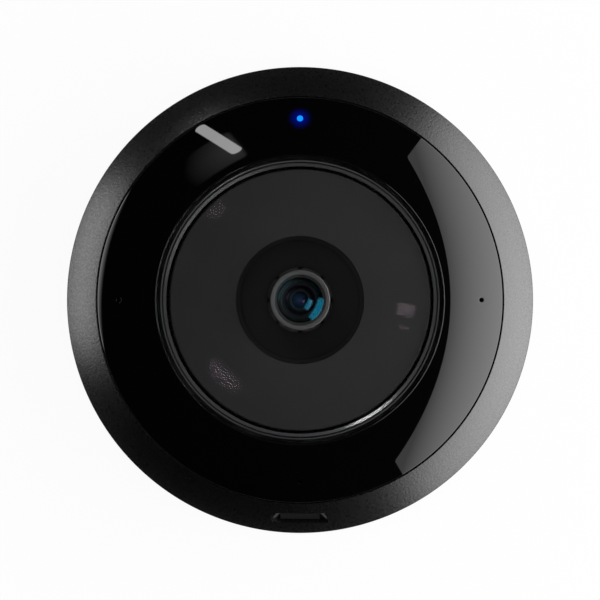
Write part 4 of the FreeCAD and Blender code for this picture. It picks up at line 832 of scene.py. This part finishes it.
def housing():
    """The cup under its satin band, a fine skin with a crisp outer edge and the slot cut in it."""
    edge_sin = (BAND_IN_R + BAND_EDGE - ARC_R0) / FRONT_ARC_R
    edge_r = BAND_IN_R + BAND_EDGE * (1 + edge_sin)
    edge_z = front_z(edge_r, -SKIN_PROUD) - BAND_EDGE * math.sqrt(1 - edge_sin ** 2)
    corner_sin = (BODY_R - BAND_CORNER - ARC_R0) / (FRONT_ARC_R - BAND_CORNER)
    corner_z = ARC_Z0 + (FRONT_ARC_R - BAND_CORNER) * math.sqrt(1 - corner_sin ** 2)
    o = Outline(BAND_IN_R, edge_z - BAND_DEPTH)
    o.line(BAND_IN_R, edge_z)
    o.arc(BAND_IN_R + BAND_EDGE, edge_z, BAND_EDGE, 180, 90 - math.degrees(math.asin(edge_sin)), 8)
    o.front(BODY_R - BAND_CORNER * (1 - corner_sin) - CORNER_GAP, -SKIN_PROUD, 60)
    o.arc(BODY_R - BAND_CORNER, corner_z, BAND_CORNER, 90 - math.degrees(math.asin(corner_sin)), 0, 10)
    o.line(BODY_R, BAND_FOOT_Z)
    o.line(BODY_R - BAND_DEPTH, BAND_FOOT_Z)
    o.line(BODY_R - BAND_DEPTH, front_z(BODY_R - BAND_DEPTH, BAND_DEPTH))
    o.front(BAND_IN_R + BAND_WALL, BAND_DEPTH, 40)
    skin = drilled(turned("band_skin", o.closed(), material("satin_black")), [slot_cutter()])
    base = cad_copy("housing", "housing_finished")
    base.data.materials.append(material("satin_black"))
    return joined(base, skin)


def lens_ring():
    """The ring that holds the front glass: flat, with a rounded outer edge and a small inner one."""
    low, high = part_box("lens_front_ring")
    foot, top = low.z / MM, high.z / MM
    outer, inner = LENS_RING_OUTER_ROUND, LENS_RING_INNER_ROUND
    o = Outline(LENS_RING_IN_R, foot)
    o.line(LENS_RING_OUT_R, foot)
    o.line(LENS_RING_OUT_R, top - outer)
    o.arc(LENS_RING_OUT_R - outer, top - outer, outer, 0, 90, 10)
    o.arc(LENS_RING_IN_R + inner, top - inner, inner, 90, 180, 6)
    return turned("lens_ring", o.closed(), material("ring_grey"), RING_SEGMENTS)


def islands(mesh):
    """The loose parts of a mesh, each as the middle of its box and its half size."""
    work = bmesh.new()
    work.from_mesh(mesh)
    bmesh.ops.remove_doubles(work, verts=work.verts, dist=CAD_WELD)
    left = set(work.verts)
    boxes = []
    while left:
        queue = [left.pop()]
        low, high = queue[0].co.copy(), queue[0].co.copy()
        while queue:
            vert = queue.pop()
            low = Vector(map(min, low, vert.co))
            high = Vector(map(max, high, vert.co))
            for edge in vert.link_edges:
                other = edge.other_vert(vert)
                if other in left:
                    left.remove(other)
                    queue.append(other)
        boxes.append(((low + high) / 2, (high - low) / 2))
    work.free()
    return sorted(boxes, key=lambda box: tuple(round(v, 6) for v in box[0]))


def fine_screw(height, head_r, head_h, shank_r, pitch):
    """A flat headed screw, head down, with a cross recess, a threaded shank and a blunt point."""
    crest, root, end = shank_r - SCREW_PLAY, shank_r - THREAD_CUT * pitch, height - SCREW_POINT
    o = Outline(0, 0)
    o.line(head_r - HEAD_ROUND, 0)
    o.arc(head_r - HEAD_ROUND, HEAD_ROUND, HEAD_ROUND, -90, 0, 4)
    o.line(head_r, head_h - HEAD_CHAMFER)
    o.line(head_r - HEAD_CHAMFER, head_h)
    o.line(shank_r, head_h)
    z = head_h + THREAD_START * pitch
    while z + pitch < end:
        o.line(crest, z)
        o.line(root, z + THREAD_FLAT[0] * pitch)
        o.line(root, z + THREAD_FLAT[1] * pitch)
        z += pitch
    o.line(crest, z)
    o.line(crest, end)
    o.line(crest - SCREW_POINT, height)
    o.line(0, height)
    blank = turned("screw", o, None, SCREW_SEGMENTS)
    arm, half = head_r * CROSS_ARM, head_r * CROSS_HALF
    levels = ((-CROSS_PROUD, CROSS_MOUTH), (head_h * CROSS_DEPTH, CROSS_FOOT))
    outline = ((-arm, -half), (arm, -half), (arm, half), (-arm, half))
    sides = [(3, 2, 1, 0), (4, 5, 6, 7), (0, 1, 5, 4), (1, 2, 6, 5), (2, 3, 7, 6), (3, 0, 4, 7)]
    for turn in (0.0, math.pi / 2):
        mesh = bpy.data.meshes.new("wing")
        mesh.from_pydata([Vector((x * s, y * s, z)) * MM for z, s in levels for x, y in outline], [], sides)
        mesh.transform(Matrix.Rotation(turn, 4, "Z"))
        blank = drilled(blank, [new_object("wing", mesh)])
    return blank


def fine_screws(node):
    """All the screws of a node, each a copy of one fine screw."""
    head_r, head_h, shank_r, pitch, turn = SCREWS[node]
    boxes = islands(frame["nodes"][node].data)
    along = 1 if node == "leaf_screws" else 2
    height = 2 * boxes[0][1][along] / MM
    one = fine_screw(height, head_r, head_h, shank_r, pitch)
    # The head is at the low end of the box, and at its high end on the sensor screws
    places = []
    for middle, half in boxes:
        place = middle.copy()
        place[along] += half[along] * (1 if node == "sensor_screws" else -1)
        places.append(place)
    return repeated(node + "_fine", one, places, turn, material(SLOT_OF[node]))


def lens_glass(node, name, slot, arc_r, back_arc, segments):
    """A glass of the lens as a fine turned piece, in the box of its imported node."""
    low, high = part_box(node)
    r, z0, top = high.x / MM, low.z / MM, high.z / MM
    bulge = arc_r - math.sqrt(arc_r ** 2 - r ** 2)
    edge = math.degrees(math.acos(r / arc_r))
    o = Outline(r, z0)
    o.line(r, top - bulge)
    o.arc(0, top - arc_r, arc_r, edge, 90, 48)
    if back_arc:
        back_r = min(r * HOLLOW_IN_GLASS, back_arc * HOLLOW_IN_ARC)
        sag = back_arc - math.sqrt(back_arc ** 2 - back_r ** 2)
        o.line(0, z0 + sag)
        o.arc(0, z0 + sag - back_arc, back_arc, 90, math.degrees(math.acos(back_r / back_arc)), 40)
    else:
        o.line(0, z0)
    return turned(name, o.closed(), material(slot), segments)


def round_top_edge(piece, edge_r):
    """Round the outer top edge of a flat disc."""
    with reworked(piece.data) as work:
        top = max(vert.co.z for vert in work.verts)
        upper = [vert for vert in work.verts if top - vert.co.z < ON_EDGE]
        reach = max(vert.co.xy.length for vert in upper)
        rim_verts = {vert for vert in upper if reach - vert.co.xy.length < ON_EDGE}
        edges = [edge for edge in work.edges if rim_verts.issuperset(edge.verts)]
        bmesh.ops.bevel(work, geom=edges, offset=edge_r * MM, segments=4, profile=0.5, affect="EDGES")
    smooth_but_corners(piece.data, CAD_CORNER)


def release_spring():
    """The button's coil spring, a welded copy of the imported node with a mesh of its own."""
    piece = cad_copy("release_spring", "release_spring_coil")
    piece.data.materials.append(material(SLOT_OF["release_spring"]))
    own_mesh(piece)
    return piece


# Handing the pieces over

FINE_PIECES = {}
SLOT_OF = {part["node"]: part["material_slot"] for part in frame["record"]["subparts"]}
BODY_OF = {name: body for body, names in frame["record"]["behaviour"]["bodies"].items() for name in names}


def keep(piece, body, node):
    """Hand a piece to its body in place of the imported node."""
    FINE_PIECES[node] = piece
    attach(piece, body)
    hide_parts(node)


keep(front_cover(), "camera", "front_cover")
keep(bubble(), "camera", "bubble")
rim = bubble_rim()
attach(rim, "camera")
keep(housing(), "camera", "housing")
keep(lens_ring(), "camera", "lens_front_ring")
for node in SCREWS:
    keep(fine_screws(node), BODY_OF[node], node)
for node, (name, slot, *shape) in GLASS_SHAPES.items():
    keep(lens_glass(node, name, slot, *shape), "camera", node)

SMOOTHED = ("mask_disc", "lens_well", "lens_barrel", "release_button", "light_pipe", "bubble_retainer",
            "bubble_gasket", "mounting_plate")
# Near-black finishes in place of the parts' own: the barrel and its holder so the gap round the lens ring
# reads dark, the button so the slot reads dark; painted shade
DARKENED_FOR_SHADE = {"lens_barrel": "barrel_black", "lens_holder": "barrel_black", "release_button": "button_black"}
for node in SMOOTHED:
    piece = cad_copy(node, node + "_finished")
    if node == "mask_disc":
        round_top_edge(piece, MASK_EDGE_R)
    piece.data.materials.append(material(DARKENED_FOR_SHADE.get(node, SLOT_OF[node])))
    keep(piece, BODY_OF[node], node)
keep(release_spring(), BODY_OF["release_spring"], "release_spring")
for node, obj in frame["nodes"].items():
    if node in FINE_PIECES:
        continue
    obj.data.materials.clear()
    obj.data.materials.append(material(DARKENED_FOR_SHADE.get(node, SLOT_OF[node])))

# The studio, whose lamps are placed in metres

FLOOR_Z = -0.1 * MM
FLOOR_HALF = 12.0
# The width that the picture spans, at the height of the outline, in millimetres
FRAME_W = 153.2
OUTLINE_Z = 15.6
LENS_MM = 560.0
SENSOR_MM = 36.0


def studio_floor():
    """A large card on which the object lies."""
    corners = [(x * FLOOR_HALF, y * FLOOR_HALF, FLOOR_Z) for x, y in ((-1, -1), (1, -1), (1, 1), (-1, 1))]
    mesh = bpy.data.meshes.new("floor")
    mesh.from_pydata(corners, [], [(0, 1, 2, 3)])
    mesh.materials.append(pale_floor().material)
    return new_object("floor", mesh)


def softbox(name, centre, along, size, radiance, soft, round_r=0.0, only_for=(), not_for=(), back=None):
    """A flat lamp with soft rounded edges, its width along a direction and its back away from the object.
    Its radiance is what a white card would show."""
    width, height = size
    data = bpy.data.lights.new(name, "AREA")
    data.shape = "RECTANGLE"
    data.size, data.size_y = width, height
    data.energy = radiance * math.pi * width * height
    data.use_nodes = True
    lamp = bpy.data.objects.new(name, data)
    bpy.context.scene.collection.objects.link(lamp)
    back = Vector(back or centre).normalized()
    x_axis = Vector(along)
    x_axis = (x_axis - back * x_axis.dot(back)).normalized()
    y_axis = back.cross(x_axis)
    lamp.matrix_world = Matrix((x_axis, y_axis, back)).transposed().to_4x4()
    lamp.location = centre
    lamp.visible_camera = False
    if only_for or not_for:
        lit = bpy.data.collections.new(name + "_lights")
        for piece in (*only_for, *not_for):
            lit.objects.link(piece)
        for entry in lit.collection_objects:
            entry.light_linking.link_state = "INCLUDE" if only_for else "EXCLUDE"
        lamp.light_linking.receiver_collection = lit
    tree = data.node_tree
    face = tree.nodes.new("ShaderNodeNewGeometry").outputs["Parametric"]
    from_middle = vector_maths(tree, "SUBTRACT", face, (0.5, 0.5, 0.0))[0]
    place = vector_maths(tree, "MULTIPLY", from_middle, (width, height, 0.0))[0]
    inner = (width / 2 - round_r - soft, height / 2 - round_r - soft, 0.0)
    past = vector_maths(tree, "SUBTRACT", vector_maths(tree, "ABSOLUTE", place)[0], inner)[0]
    beyond = vector_maths(tree, "MAXIMUM", past, (0.0, 0.0, 0.0))[0]
    length = vector_maths(tree, "LENGTH", beyond)["Value"]
    edge = ranged(tree, length, 1.0, 0.0, round_r, round_r + soft, "SMOOTHSTEP")
    tree.links.new(edge, tree.nodes["Emission"].inputs["Strength"])
    return lamp, place, edge


def graded(lamp, place, edge, at, hot, far, reach, squash=1.0):
    """Grade a lamp's face from hot at one place to far at reach from it, counting its width squashed."""
    tree = lamp.data.node_tree
    scaled = vector_maths(tree, "MULTIPLY", place, (squash, 1.0, 0.0))[0]
    away = vector_maths(tree, "DISTANCE", scaled, (at[0] * squash, at[1], 0.0))["Value"]
    strength = maths(tree, "MULTIPLY", ranged(tree, away, hot, far, 0.0, reach), edge)
    tree.links.new(strength, tree.nodes["Emission"].inputs["Strength"])


def direction(azimuth, elevation, distance):
    """A place at a compass angle round the lens axis, an angle above the floor, and a distance."""
    a, e = math.radians(azimuth), math.radians(elevation)
    return Vector((math.cos(e) * math.cos(a), math.cos(e) * math.sin(a), math.sin(e))) * distance


def card(name, at, size, radiance, turn=0.0, **edges):
    """A softbox at an azimuth, elevation and distance, its width level but for a turn."""
    level = direction(at[0] + 90 + turn, 0, 1)
    return softbox(name, direction(*at), level, size, radiance, **edges)


floor = studio_floor()

BUBBLE = FINE_PIECES["bubble"]
FRONT_GLASS = FINE_PIECES["front_glass"]
LENS_GLASSES = [FINE_PIECES[node] for node in GLASS_SHAPES]

# The large softbox on the right, standing on the floor
KEY_X = 0.7
KEY_LOW, KEY_HIGH = -1.70 * KEY_X, 1.337 * KEY_X
KEY_TOP = 1.325 * KEY_X
KEY_MIDDLE = (KEY_LOW + KEY_HIGH) / 2
KEY_W = KEY_HIGH - KEY_LOW
KEY_HOT_Y = -0.1
key = softbox("key_softbox", (KEY_X, KEY_MIDDLE, KEY_TOP / 2), (0, 1, 0), (KEY_W, KEY_TOP), 1.0,
              soft=0.004, round_r=0.03, back=(1, 0, 0),
              not_for=[rim, BUBBLE, FINE_PIECES["lens_well"], *LENS_GLASSES])
graded(*key, at=(KEY_HOT_Y - KEY_MIDDLE, -KEY_TOP / 2), hot=6.6, far=1.0, reach=1.0, squash=0.66)

# The narrow strip at the upper left, and the dim panel beside it
SMALL_D = 0.8
STRIP_W = 0.046
STRIP_OVERHANG = 0.02
strip_low = direction(120.3, 26.5, SMALL_D)
strip_high = direction(112.8, 47.1, SMALL_D)
strip_run = strip_high - strip_low
strip_size = (strip_run.length + STRIP_OVERHANG, STRIP_W)
softbox("upper_strip", (strip_low + strip_high) / 2, strip_run, strip_size, 6.8,
        soft=0.004, round_r=0.018, not_for=[BUBBLE, *LENS_GLASSES])
panel = card("upper_panel", (123.5, 44, SMALL_D), (0.26, 0.24), 1.0, soft=0.02, round_r=0.01,
             not_for=[BUBBLE, *LENS_GLASSES])
graded(*panel, at=(-0.12, 0.02), hot=0.6, far=0.0, reach=0.22)

# Cards that light only the pieces named: where they stand, their size and their radiance
card("left_strip", (171, 16, 0.75), (0.64, 0.32), 3.5, soft=0.05, round_r=0.02,
     only_for=[FINE_PIECES["housing"], FINE_PIECES["front_cover"]])
card("rim_kicker", (122.0, 34, 0.8), (0.22, 0.12), 30.0, soft=0.012, round_r=0.01, only_for=[rim])
card("rim_card", (318, 34, 0.8), (1.0, 0.30), 2.2, soft=0.14, only_for=[rim])
card("lens_card", (-28, 35, 0.6), (0.62, 0.42), 3.2, soft=0.06, round_r=0.02, only_for=[FRONT_GLASS])
softbox("lens_top_card", (-0.10, -0.03, 1.2), (1, 0, 0), (0.95, 0.95), 0.17, soft=0.2, round_r=0.1,
        only_for=[FRONT_GLASS])
card("glow_card", (225, 9, 0.9), (0.42, 0.30), 12.0, soft=0.14, only_for=[BUBBLE])
card("window_card", (-5.5, 10, 0.9), (0.13, 0.24), 11.0, turn=-6.5, soft=0.02, only_for=[BUBBLE])
card("low_card", (133, 6.0, 0.152), (0.036, 0.034), 11.0, soft=0.016, only_for=[BUBBLE])
card("window_card_low", (-15, 9, 0.9), (0.06, 0.16), 7.0, turn=-5.0, soft=0.03, only_for=[BUBBLE])

# Even light from above, which nothing mirrors
fill = softbox("overhead_fill", (0, 0, 1.5), (1, 0, 0), (0.9, 0.9), 4.4, soft=0.1, round_r=0.1)[0]
fill.visible_glossy = False
fill.visible_transmission = False

world = bpy.data.worlds.new("dark_studio")
world.use_nodes = True
world.node_tree.nodes["Background"].inputs["Color"].default_value = (0.0, 0.0, 0.0, 1.0)
bpy.context.scene.world = world
bpy.context.scene.view_settings.view_transform = "Standard"

camera_data = bpy.data.cameras.new("camera")
camera_data.lens = LENS_MM
camera_data.sensor_width = SENSOR_MM
camera_data.clip_end = 20.0
camera = bpy.data.objects.new("camera", camera_data)
camera.location = (0.0, 0.0, (OUTLINE_Z + FRAME_W * LENS_MM / SENSOR_MM) * MM)
bpy.context.scene.collection.objects.link(camera)
bpy.context.scene.camera = camera
